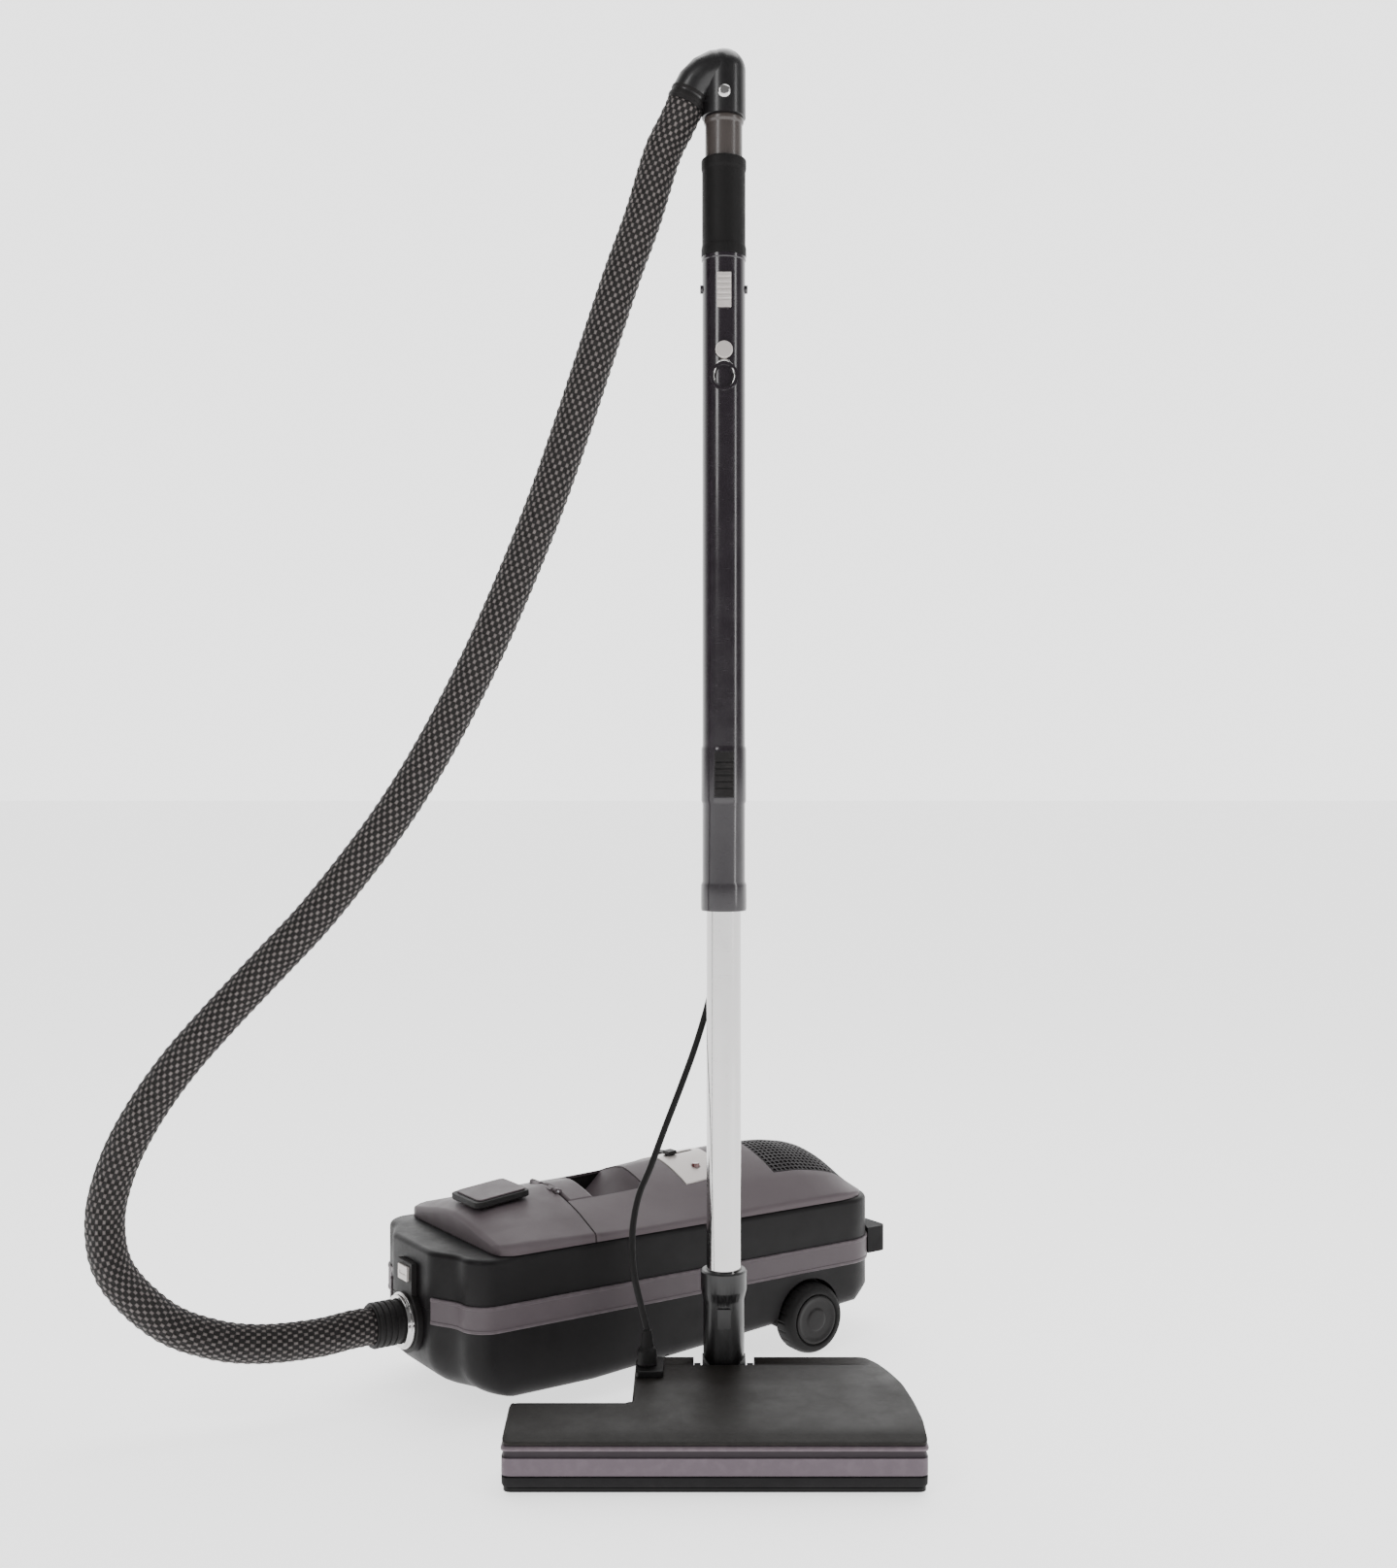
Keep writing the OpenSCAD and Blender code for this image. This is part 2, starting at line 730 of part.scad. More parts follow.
module motor_bulkhead() {
    color(c_soft_black) can_frame() difference() {
        intersection() {
            tub(wall + 0.3, shoulder_z - deck_t - 0.3);
            block([bulkhead_x, -hw, 0], [bulkhead_x + 4, hw, 200]);
        }
        rod_x(bulkhead_x - 5, bulkhead_x + 10, 40, 0, motor_z);
    }
}

module suction_motor() {
    color(c_steel) can_frame() difference() {
        union() {
            rod_x(fan_x0, fan_x1, fan_r, 0, motor_z);
            rod_x(fan_x1 - 1, can_x1, can_r, 0, motor_z);
            rod_x(can_x1 - 1, can_x1 + 7, 14, 0, motor_z);
        }
        rod_x(fan_x0 + 4, fan_x1 - 4, fan_r - 4, 0, motor_z);
        rod_x(fan_x0 - 1, fan_x0 + 5, 16, 0, motor_z);
        rod_x(fan_x0 + 10, 62, shaft_r + run, 0, motor_z);
        for (a = [0:45:315]) translate([0, 0, motor_z]) rotate([a, 0, 0])
            block([40, -5, can_r - 6], [80, 5, can_r + 5]);
    }
}

module fan_rotor() {
    color(c_steel) can_frame() {
        rod_x(fan_x0 + 8, 60, shaft_r, 0, motor_z);
        rod_x(-5, 0, 44, 0, motor_z);
        for (a = [0:40:320]) translate([0, 0, motor_z]) rotate([a, 0, 0])
            block([-14, -1, 14], [-4.5, 1, 43]);
    }
}

module motor_mounts() {
    color(c_black) can_frame() {
        difference() {
            rod_x(bulkhead_x + 4, fan_x0, 50, 0, motor_z);
            rod_x(bulkhead_x, fan_x0 + 2, 41, 0, motor_z);
        }
        difference() {
            block([70, -26, 34.6], [86, 26, 62]);
            rod_x(60, 90, can_r + 0.1, 0, motor_z);
        }
    }
}

module reel_bracket() {
    color(c_soft_black) can_frame() {
        block([128, -45, 98], [222, 45, 101]);
        translate([reel_x, 0, 100]) cylinder(h = 46, r = reel_post_r);
        for (x = [130, 212], y = [-43, 35]) block([x, y, 45.5], [x + 8, y + 8, 98.5]);
    }
}

module cord_reel() {
    color(c_white) can_frame() translate([reel_x, 0, 0]) difference() {
        union() {
            translate([0, 0, 103]) cylinder(h = 2, r = reel_r);
            translate([0, 0, 104]) cylinder(h = 38, r = 20);
            translate([0, 0, 141]) cylinder(h = 2, r = reel_r);
        }
        translate([0, 0, 100]) cylinder(h = 50, r = reel_post_r + run);
        for (a = [0:60:300]) rotate([0, 0, a]) translate([38, 0, 90]) cylinder(h = 60, r = 8);
    }
}

// ---------------------------------------------------------------- rear wheels and caster

module rear_axle() {
    color(c_steel) can_frame() rod_y(-wheel_y0 - wheel_w + 1, wheel_y0 + wheel_w - 1, axle_r,
        wheel_x, wheel_r);
}

// A rear wheel on the +Y side
module rear_wheel() {
    y1 = wheel_y0 + wheel_w;
    difference() {
        translate([wheel_x, 0, wheel_r]) rotate([-90, 0, 0]) rotate_extrude()
            polygon([[0, wheel_y0], [wheel_r - 3, wheel_y0], [wheel_r, wheel_y0 + 3],
                     [wheel_r, y1 - 4], [wheel_r - 1.2, y1 - 1.2], [wheel_r - 4, y1], [27, y1],
                     [26, y1 - 2], [0, y1 - 2]]);
        rod_y(wheel_y0 - 1, y1 + 1, axle_r + run, wheel_x, wheel_r);
    }
}

module hubcap() {
    y1 = wheel_y0 + wheel_w;
    translate([wheel_x, 0, wheel_r]) rotate([-90, 0, 0]) rotate_extrude()
        polygon([[0, y1 - 0.8], [8, y1 - 0.8], [8, y1 - 1.9], [25, y1 - 1.9], [25, y1 + 0.5],
                 [21, y1 + 1.6], [0, y1 + 2.2]]);
}

// Left and right are seen from behind the canister, looking at its nose
module rear_wheel_left() { color(c_black) can_frame() mirror([0, 1, 0]) rear_wheel(); }
module rear_wheel_right() { color(c_black) can_frame() rear_wheel(); }
module hubcap_left() { color(c_soft_black) can_frame() mirror([0, 1, 0]) hubcap(); }
module hubcap_right() { color(c_soft_black) can_frame() hubcap(); }

module caster_fork() {
    color(c_steel) can_frame() translate([caster_x, 0, 0]) {
        difference() {
            union() {
                translate([0, 0, 40]) cylinder(h = 4, r = 18);
                translate([0, 0, 43]) cylinder(h = 19, r = stem_r);
                both_sides() block([-4, 9, 20], [caster_trail + 6, 12, 41]);
                both_sides() rod_y(9, 12, 6, caster_trail, caster_r);
                both_sides() block([caster_trail - 6, 9, caster_r], [caster_trail + 6, 12, 24]);
            }
            rod_y(-20, 20, caster_pin_r - 0.5, caster_trail, caster_r);
        }
        rod_y(-9.5, 9.5, caster_pin_r, caster_trail, caster_r);
        both_sides() rod_y(9, 13.5, caster_pin_r, caster_trail, caster_r);
    }
}

module caster_wheel() {
    color(c_black) can_frame() translate([caster_x + caster_trail, 0, 0]) difference() {
        rod_y(-7.5, 7.5, caster_r, 0, caster_r);
        rod_y(-10, 10, caster_pin_r + run, 0, caster_r);
    }
}

// ---------------------------------------------------------------- power nozzle

module nozzle_base() {
    color(c_black) wand_frame() difference() {
        union() {
            nozzle_slab(1.5, 4, 7.6);
            difference() {
                nozzle_slab(5, 4, nz_split);
                nozzle_slab(8, 7, nz_split + 1);
            }
            for (s = [-1, 1]) {
                block([s * 24.5 - 3, -14, 4], [s * 24.5 + 3, 4, 53]);
                block([s * 46 - 2, nz_axle_y - 6, 4], [s * 46 + 2, nz_axle_y + 6, 21]);
            }
            block([40, nz_motor_y - 15, 5], [50, nz_motor_y + 15, 20]);
            block([85, nz_motor_y - 15, 5], [95, nz_motor_y + 15, 20]);
        }
        block([-168, -165.9, 0], [148, -119.5, 12]);
        rod_x(-40, 40, trunnion_r + run, 0, tilt_z);
        rod_x(-50, 50, nz_axle_r + run, nz_axle_y, nz_wheel_r);
        rod_x(-5, 118, nz_motor_r + 0.2, nz_motor_y, nz_motor_z);
        block([-21, -21, 21], [21, 20, 80]);
        for (s = [-1, 1]) block([s * 59 - 9, nz_axle_y - 17.5, 0], [s * 59 + 9, nz_axle_y + 17.5, 20]);
    }
}

module nozzle_cover() {
    color(c_soft_black) wand_frame() difference() {
        union() {
            difference() {
                intersection() {
                    nozzle_slab(1.5, nz_split + 0.2, 80);
                    nozzle_top_form(0);
                }
                intersection() {
                    nozzle_slab(4.5, nz_split - 5, 80);
                    nozzle_top_form(2.5);
                }
            }
            block([plug_x - 9.5, -58, 54], [plug_x + 15, -16, plug_z - 0.2]);
        }
        block([-28, -23, 30], [28, 20, 90]);
        translate([plug_x, plug_y, 50]) cylinder(h = 30, r = 6 + fixed);
    }
}

module nozzle_bumper() {
    color(c_bumper) wand_frame() intersection() {
        difference() {
            union() {
                nozzle_slab(0, 8, 36);
                nozzle_slab(1.2, 35, nz_split - 0.2);
            }
            nozzle_slab(4.8, 0, 60);
        }
        union() {
            block([-200, -200, 0], [200, nz_step_y - 2, 60]);
            block([100, -200, 0], [200, -15, 60]);
        }
    }
}

module nozzle_motor() {
    color(c_steel) wand_frame() difference() {
        union() {
            rod_x(6, 104, nz_motor_r, nz_motor_y, nz_motor_z);
            rod_x(0, 110, 10, nz_motor_y, nz_motor_z);
        }
        rod_x(60, 120, shaft_r + run, nz_motor_y, nz_motor_z);
    }
}

module motor_pulley() {
    color(c_steel) wand_frame() {
        rod_x(64, 136, shaft_r, nz_motor_y, nz_motor_z);
        rod_x(belt_x0 - 2, belt_x1 + 2, motor_pulley_r, nz_motor_y, nz_motor_z);
        for (x = [belt_x0 - 3.5, belt_x1 + 1]) rod_x(x, x + 2, motor_pulley_r + 3, nz_motor_y, nz_motor_z);
    }
}

// The belt's outline around both pulleys, r further out than their grooves
module belt_loop(r) {
    hull() {
        translate([brush_y, brush_z]) circle(r = brush_pulley_r + r);
        translate([nz_motor_y, nz_motor_z]) circle(r = motor_pulley_r + r);
    }
}

module drive_belt() {
    color(c_black) wand_frame() translate([belt_x0, 0, 0]) rotate([90, 0, 90])
        linear_extrude(belt_x1 - belt_x0) difference() {
            belt_loop(gap + belt_t);
            belt_loop(gap);
        }
}

module brush_roll() {
    tufts = 22;
    pitch = (belt_x0 - 12 - brush_x0 - 8) / tufts;
    color(c_soft_black) wand_frame() {
        rod_x(brush_x0, belt_x0 - 3, brush_core_r, brush_y, brush_z);
        rod_x(belt_x0 - 4, belt_x1 + 4, brush_pulley_r, brush_y, brush_z);
        rod_x(belt_x1 + 3, brush_x1, brush_core_r, brush_y, brush_z);
        rod_x(brush_x0 - 9, brush_x1 + 10, 4, brush_y, brush_z);
        for (i = [0:tufts - 1], s = [0, 180])
            translate([brush_x0 + 8 + pitch * i, brush_y, brush_z]) rotate([s + 240 * i / tufts, 0, 0])
                translate([0, 0, brush_core_r - 2]) cylinder(h = brush_r - brush_core_r + 2, r = 2.4);
    }
}

module brush_bearings() {
    color(c_white) wand_frame() difference() {
        union() {
            block([-177, brush_y - 11, 7.8], [-169.5, brush_y + 11, 40]);
            block([149.5, brush_y - 11, 7.8], [156.5, brush_y + 11, 40]);
        }
        rod_x(-174, 155, 4 + run, brush_y, brush_z);
    }
}

module nozzle_axle() {
    color(c_soft_black) wand_frame() {
        rod_x(-67, 67, nz_axle_r, nz_axle_y, nz_wheel_r);
        for (x = [-66, 52]) rod_x(x, x + 14, nz_wheel_r, nz_axle_y, nz_wheel_r);
    }
}

module neck() {
    color(c_black) wand_frame() difference() {
        union() {
            translate([0, 0, tilt_z]) rotate_extrude()
                polygon([[0, 0], [neck_r, 0], [neck_r, 70], [21.5, 80], [21.5, neck_z1 - tilt_z - 1.5],
                         [20, neck_z1 - tilt_z], [0, neck_z1 - tilt_z]]);
            rod_x(-20, 20, 18.5, 0, tilt_z);
            rod_x(-27, 27, trunnion_r, 0, tilt_z);
            block([-6, -21.5, 92], [6, -10, 110]);
        }
        translate([0, 0, tube_z0 - 2]) cylinder(h = 100, r = tube_r + gap);
        cylinder(h = tube_z0, r = 12);
    }
}

module cord_plug() {
    color(c_black) wand_frame() translate([plug_x, plug_y, 0]) {
        translate([0, 0, 58]) cylinder(h = 10, r = 6);
        translate([0, 0, plug_z]) rotate_extrude()
            polygon([[0, 0], [9, 0], [9, 12], [7.5, 15], [6.2, 16], [4.2, 31], [0, 31]]);
    }
}

// ---------------------------------------------------------------- wand

module lower_tube() {
    color(c_chrome) wand_frame() difference() {
        translate([0, 0, tube_z0]) cylinder(h = tube_z1 - tube_z0, r = tube_r);
        cylinder(h = 700, r = tube_r - 1.2);
    }
}

module wand_sheath() {
    color(c_sheath) wand_frame() difference() {
        union() {
            rotate_extrude() polygon([
                [0, sheath_z0], [sheath_r + 1, sheath_z0], [sheath_r + 1.4, sheath_z0 + 2],
                [sheath_r + 1.4, sheath_z0 + 24], [sheath_r, sheath_z0 + 27],
                [sheath_r, lock_z0 - 6], [sheath_r + 1, lock_z0 - 3], [sheath_r + 1, lock_z1 + 3],
                [sheath_r, lock_z1 + 6], [sheath_r, sheath_z1 - 4], [sheath_r + 0.8, sheath_z1 - 3],
                [sheath_r + 0.8, sheath_z1], [0, sheath_z1]]);
            translate([-4, 22, sheath_z0 - 5]) cylinder(h = 34, r = 5.5);
            both_sides_x() rod_x(sheath_r - 1.5, sheath_r + 2, 4, 0, 1052);
            translate([0, -16, 967]) rotate([90, 0, 0]) difference() {
                cylinder(h = 6.5, r = 13);
                translate([0, 0, -1]) cylinder(h = 10, r = 10.5);
            }
        }
        translate([0, 0, sheath_z0 - 1])
            cylinder(h = tube_z1 + tube_travel - sheath_z0 + 6, r = tube_r + gap);
        cylinder(h = 1100, r = 14);
        block([-9, -30, lock_z0], [9, -17.7, lock_z1]);
        rod_y(-30, -17.7, 8.4, 0, button_z);
        rod_y(-30, -10, 3, 0, (slide_z0 + slide_z1) / 2);
    }
}

module both_sides_x() {
    children();
    mirror([1, 0, 0]) children();
}

module length_lock() {
    color(c_soft_black) wand_frame() difference() {
        block([-8.5, -22.6, lock_z0 + 0.5], [8.5, -19.5, lock_z1 - 0.5]);
        for (z = [lock_z0 + 8:6:lock_z1 - 8]) block([-9, -23, z], [9, -21.8, z + 2]);
    }
}

module release_button() {
    color(c_silver) wand_frame() rod_y(-23.4, -19.9, 8, 0, button_z);
}

module suction_slide() {
    color(c_silver) wand_frame() difference() {
        block([-6.5, -23, slide_z0], [6.5, -sheath_r - gap, slide_z1]);
        for (z = [slide_z0 + 6:5:slide_z1 - 6]) block([-7, -24, z], [7, -22.3, z + 2]);
    }
}

module hand_grip() {
    color(c_black) wand_frame() difference() {
        rotate_extrude() polygon([
            [0, sheath_z1 + 0.2], [21, sheath_z1 + 0.2], [21, sheath_z1 + 8], [20.2, sheath_z1 + 12],
            [20.2, grip_z1 - 12], [21, grip_z1 - 8], [21, grip_z1 - 1], [20, grip_z1], [0, grip_z1]]);
        cylinder(h = 1300, r = 14);
    }
}

// A frame at the hose's upper end, with Z along the hose
module outlet_frame() {
    translate(hose_end) rotate([0, hose_dir_a, 0]) children();
}

module swivel_elbow() {
    dome = [for (a = [0:15:90]) [elbow_r * cos(a), total_h - elbow_r + elbow_r * sin(a)]];
    color(c_black) wand_frame() difference() {
        union() {
            difference() {
                rotate_extrude() polygon(concat(
                    [[0, grip_z1 + 0.2], [handle_r, grip_z1 + 0.2], [handle_r, elbow_z0],
                     [elbow_r - 1, elbow_z0], [elbow_r, elbow_z0 + 1.5]], dome));
                outlet_frame() translate([0, 0, -cuff_l - 0.4]) cylinder(h = 70, r = cuff_r + 0.6);
                cylinder(h = elbow_z0, r = 14);
            }
            outlet_frame() translate([0, 0, -30]) cylinder(h = 27, r = 16.4);
            rod_y(-elbow_r - 1.5, -elbow_r + 3, 6, 0, 1229);
        }
        outlet_frame() translate([0, 0, -26]) cylinder(h = 30, r = 12);
        translate([0, 0, 1190]) cylinder(h = 45, r = 10);
    }
}

module hose_cuff() {
    color(c_soft_black) wand_frame() outlet_frame() difference() {
        union() {
            translate([0, 0, -cuff_l]) cylinder(h = cuff_l, r = cuff_r - 0.8);
            for (z = [-cuff_l + 1, -6]) translate([0, 0, z]) cylinder(h = 3, r = cuff_r);
        }
        translate([0, 0, -cuff_l - 1]) cylinder(h = cuff_l - 1.5, r = 16.4 + run);
        translate([0, 0, -cuff_l - 1]) cylinder(h = cuff_l + 2, r = 13);
    }
}

// ---------------------------------------------------------------- hose and cord

module hose() {
    far_dir = unit(elbow_point(0) - elbow_point(20));
    color(c_hose) swept_tube(spline(hose_route, 2), hose_d / 2, 12,
        unit(port_point(20) - port_point(0)), far_dir);
}

module nozzle_cord() {
    color(c_black) swept_tube(spline(cord_route, 2), cord_d / 2, 8, [0, 0, -1], [0, 0, -1]);
}

// ---------------------------------------------------------------- nodes

lower_housing();
upper_housing();
trim_band();
rear_bumper();
port_plate();
port_ring();
inlet_duct();
hose_release_button();
top_cover();
carry_handle();
control_panel();
indicator_lens();
power_slider();
rewind_button();
exhaust_grille();
exhaust_filter();
bag_hood();
hood_latch();
hood_hinge_pin();
hood_gasket();
dust_bag();
bag_collar();
motor_filter();
motor_bulkhead();
suction_motor();
fan_rotor();
motor_mounts();
reel_bracket();
cord_reel();
cord_gland();
housing_screws();
rear_axle();
rear_wheel_left();
rear_wheel_right();
hubcap_left();
hubcap_right();
caster_fork();
caster_wheel();
hose_connector();
hose();
nozzle_base();
nozzle_cover();
nozzle_bumper();
nozzle_motor();
motor_pulley();
drive_belt();
brush_roll();
brush_bearings();
nozzle_axle();
neck();
cord_plug();
nozzle_cord();
lower_tube();
wand_sheath();
length_lock();
release_button();
suction_slide();
hand_grip();
swivel_elbow();
hose_cuff();
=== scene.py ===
import json
import math

import bmesh
import bpy
from mathutils import Matrix, Vector


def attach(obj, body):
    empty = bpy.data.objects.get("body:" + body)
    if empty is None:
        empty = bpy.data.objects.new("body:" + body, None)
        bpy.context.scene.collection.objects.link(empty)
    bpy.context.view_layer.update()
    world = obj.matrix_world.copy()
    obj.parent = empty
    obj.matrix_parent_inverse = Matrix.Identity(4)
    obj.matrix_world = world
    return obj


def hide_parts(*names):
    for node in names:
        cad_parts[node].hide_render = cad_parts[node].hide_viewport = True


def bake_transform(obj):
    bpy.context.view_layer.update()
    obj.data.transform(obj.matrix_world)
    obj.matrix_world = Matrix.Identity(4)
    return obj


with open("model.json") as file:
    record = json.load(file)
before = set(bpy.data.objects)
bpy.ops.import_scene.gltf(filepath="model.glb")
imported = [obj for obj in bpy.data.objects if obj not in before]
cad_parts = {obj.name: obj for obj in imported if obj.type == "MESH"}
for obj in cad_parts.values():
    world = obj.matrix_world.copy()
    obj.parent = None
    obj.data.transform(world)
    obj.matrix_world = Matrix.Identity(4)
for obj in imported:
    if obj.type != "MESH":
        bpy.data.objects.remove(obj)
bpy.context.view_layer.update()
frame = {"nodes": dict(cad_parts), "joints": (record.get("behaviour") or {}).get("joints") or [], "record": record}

MM = 0.001
NODES = frame["nodes"]
JOINTS = {j["name"]: j for j in frame["joints"]}

# The canister's own frame: X to the rear, Z up, millimetres, with the wheel axle WHEEL_X behind its origin
WHEEL_X = 146
axle = JOINTS["wheel_left_spin"]
YAW = math.atan2(-axle["axis"][0], axle["axis"][1])
CAN_X = axle["pos_m"][0] - WHEEL_X * MM * math.cos(YAW)
CAN_Y = axle["pos_m"][1] - WHEEL_X * MM * math.sin(YAW)
CAN = Matrix.Translation((CAN_X, CAN_Y, 0)) @ Matrix.Rotation(YAW, 4, "Z") @ Matrix.Scale(MM, 4)

# The wand and nozzle share a frame that stands on the tilt axis
tilt = JOINTS["wand_tilt"]["pos_m"]
WAND = Matrix.Translation((tilt[0], tilt[1], 0)) @ Matrix.Scale(MM, 4)


# ---- Camera, lights, floor -------------------------------------------------------------------

def link(ob):
    bpy.context.scene.collection.objects.link(ob)
    return ob


def make_camera():
    camera = link(bpy.data.objects.new("camera", bpy.data.cameras.new("camera")))
    camera.location = (0.0615, -1.7436, 0.5924)
    camera.rotation_euler = (math.radians(90), 0, 0)
    camera.data.lens = 40
    camera.data.sensor_width = 36
    bpy.context.scene.camera = camera


def make_light(name, place, aim, size, power):
    data = bpy.data.lights.new(name, "AREA")
    data.shape = "RECTANGLE"
    data.size = size[0]
    data.size_y = size[1]
    data.energy = power
    ob = link(bpy.data.objects.new(name, data))
    ob.location = place
    ob.rotation_euler = (Vector(aim) - Vector(place)).to_track_quat("-Z", "Y").to_euler()


def make_studio():
    world = bpy.data.worlds.new("studio")
    bpy.context.scene.world = world
    world.use_nodes = True
    tree = world.node_tree
    sky = tree.nodes["Background"]
    sky.inputs["Color"].default_value = (1, 1, 1, 1)
    facing = tree.nodes.new("ShaderNodeSeparateXYZ")
    tree.links.new(tree.nodes.new("ShaderNodeTexCoord").outputs["Generated"], facing.inputs[0])
    glow = tree.nodes.new("ShaderNodeMapRange")
    tree.links.new(facing.outputs["Y"], glow.inputs["Value"])
    glow.inputs["From Min"].default_value = 0.1
    glow.inputs["From Max"].default_value = 0.85
    glow.inputs["To Min"].default_value = 0.25
    glow.inputs["To Max"].default_value = 2.7
    tree.links.new(glow.outputs[0], sky.inputs["Strength"])
    make_light("key", (-1.2, -1.8, 1.9), (0, 0, 0.4), (0.5, 1.5), 16)
    make_light("top", (0.3, 0.3, 2.6), (0, 0, 0.2), (1.6, 1.2), 20)
    make_light("strip", (1.7, -0.9, 1.2), (0.1, 0, 0.5), (0.25, 1.8), 9)
    plate = bpy.data.meshes.new("floor")
    far = 60
    plate.from_pydata([(-far, -far, 0), (far, -far, 0), (far, far, 0), (-far, far, 0)], [], [(0, 1, 2, 3)])
    floor = link(bpy.data.objects.new("floor", plate))
    paint = bpy.data.materials.new("floor")
    paint.use_nodes = True
    shader = paint.node_tree.nodes["Principled BSDF"]
    shader.inputs["Base Color"].default_value = (0.93, 0.93, 0.93, 1)
    shader.inputs["Roughness"].default_value = 0.75
    shader.inputs["Emission Color"].default_value = (1, 1, 1, 1)
    shader.inputs["Emission Strength"].default_value = 1.5
    plate.materials.append(paint)


# ---- Finishes --------------------------------------------------------------------------------

# slot: colour, roughness, metallic, coat, colour variation, grain depth (mm), grain scale (per m),
# scratches, edge wear
FINISHES = {
    "housing_black": ((0.0052, 0.0045, 0.0049), 0.46, 0, 0, 0.22, 0.10, 1500, 0.5, 0.5),
    "soft_black": ((0.011, 0.010, 0.010), 0.50, 0, 0, 0.20, 0.08, 1600, 0.5, 0.5),
    "gloss_black": ((0.005, 0.0045, 0.005), 0.34, 0, 0.15, 0.15, 0.01, 900, 0.8, 0.4),
    "cover_mauve": ((0.098, 0.080, 0.087), 0.44, 0, 0, 0.10, 0.09, 1500, 0.5, 0.4),
    "band_mauve": ((0.088, 0.073, 0.080), 0.38, 0, 0, 0.12, 0.05, 1400, 0.6, 0.5),
    "bumper_rubber": ((0.007, 0.0065, 0.007), 0.62, 0, 0, 0.25, 0.10, 1100, 0.3, 0.3),
    "silver_plastic": ((0.55, 0.51, 0.49), 0.34, 0.35, 0.2, 0.06, 0.03, 1800, 0.6, 0.2),
    "chrome": ((0.58, 0.57, 0.565), 0.13, 1, 0, 0.03, 0.006, 600, 1.0, 0.0),
    "steel": ((0.50, 0.50, 0.52), 0.32, 1, 0, 0.10, 0.03, 1200, 1.0, 0.2),
    "aluminium": ((0.62, 0.63, 0.64), 0.36, 1, 0, 0.08, 0.03, 1000, 1.0, 0.2),
    "red_lens": ((0.10, 0.008, 0.007), 0.12, 0, 0.6, 0.08, 0.01, 500, 0.4, 0.0),
    "grille_black": ((0.016, 0.013, 0.015), 0.50, 0, 0, 0.25, 0.06, 1500, 0.3, 0.5),
    "filter_white": ((0.74, 0.73, 0.68), 0.90, 0, 0, 0.10, 0.25, 2200, 0.0, 0.0),
    "seal_rubber": ((0.020, 0.019, 0.019), 0.70, 0, 0, 0.20, 0.08, 1300, 0.2, 0.2),
    "bag_paper": ((0.56, 0.43, 0.28), 0.88, 0, 0, 0.14, 0.20, 1400, 0.0, 0.0),
    "card": ((0.44, 0.33, 0.20), 0.85, 0, 0, 0.16, 0.15, 1200, 0.2, 0.3),
    "white_plastic": ((0.70, 0.69, 0.65), 0.42, 0, 0, 0.05, 0.05, 1300, 0.4, 0.0),
    "wheel_rubber": ((0.008, 0.0075, 0.0075), 0.58, 0, 0, 0.28, 0.12, 1200, 0.3, 0.4),
    "hubcap_black": ((0.014, 0.013, 0.013), 0.40, 0, 0, 0.20, 0.06, 1500, 0.6, 0.5),
    "nozzle_black": ((0.0045, 0.004, 0.004), 0.46, 0, 0, 0.22, 0.09, 1500, 0.5, 0.5),
    "nozzle_top": ((0.0095, 0.0078, 0.0066), 0.42, 0, 0, 0.16, 0.09, 1500, 0.6, 0.5),
    "nozzle_bumper": ((0.128, 0.103, 0.121), 0.46, 0, 0, 0.12, 0.08, 1300, 0.5, 0.4),
    # The guard's groove and bead rows are its own mauve, made darker in the groove as painted shade and lighter on
    # the rounded top as a painted highlight.
    "guard_groove_shade": ((0.034, 0.027, 0.032), 0.50, 0, 0, 0.12, 0.06, 1300, 0.3, 0.3),
    "guard_bead_highlight": ((0.150, 0.122, 0.138), 0.40, 0, 0, 0.10, 0.05, 1300, 0.4, 0.3),
    "brush": ((0.030, 0.028, 0.028), 0.75, 0, 0, 0.30, 0.10, 1800, 0.0, 0.0),
    "cord_black": ((0.008, 0.0075, 0.0075), 0.52, 0, 0, 0.18, 0.05, 1300, 0.3, 0.2),
    "sheath": ((0.011, 0.0075, 0.011), 0.20, 0, 0.4, 0.10, 0.004, 1000, 0.9, 0.3),
    "grip_black": ((0.006, 0.0055, 0.0055), 0.55, 0, 0, 0.20, 0.14, 1500, 0.3, 0.3),
    "elbow_brown": ((0.042, 0.034, 0.031), 0.34, 0, 0.2, 0.12, 0.04, 1300, 0.6, 0.4),
}


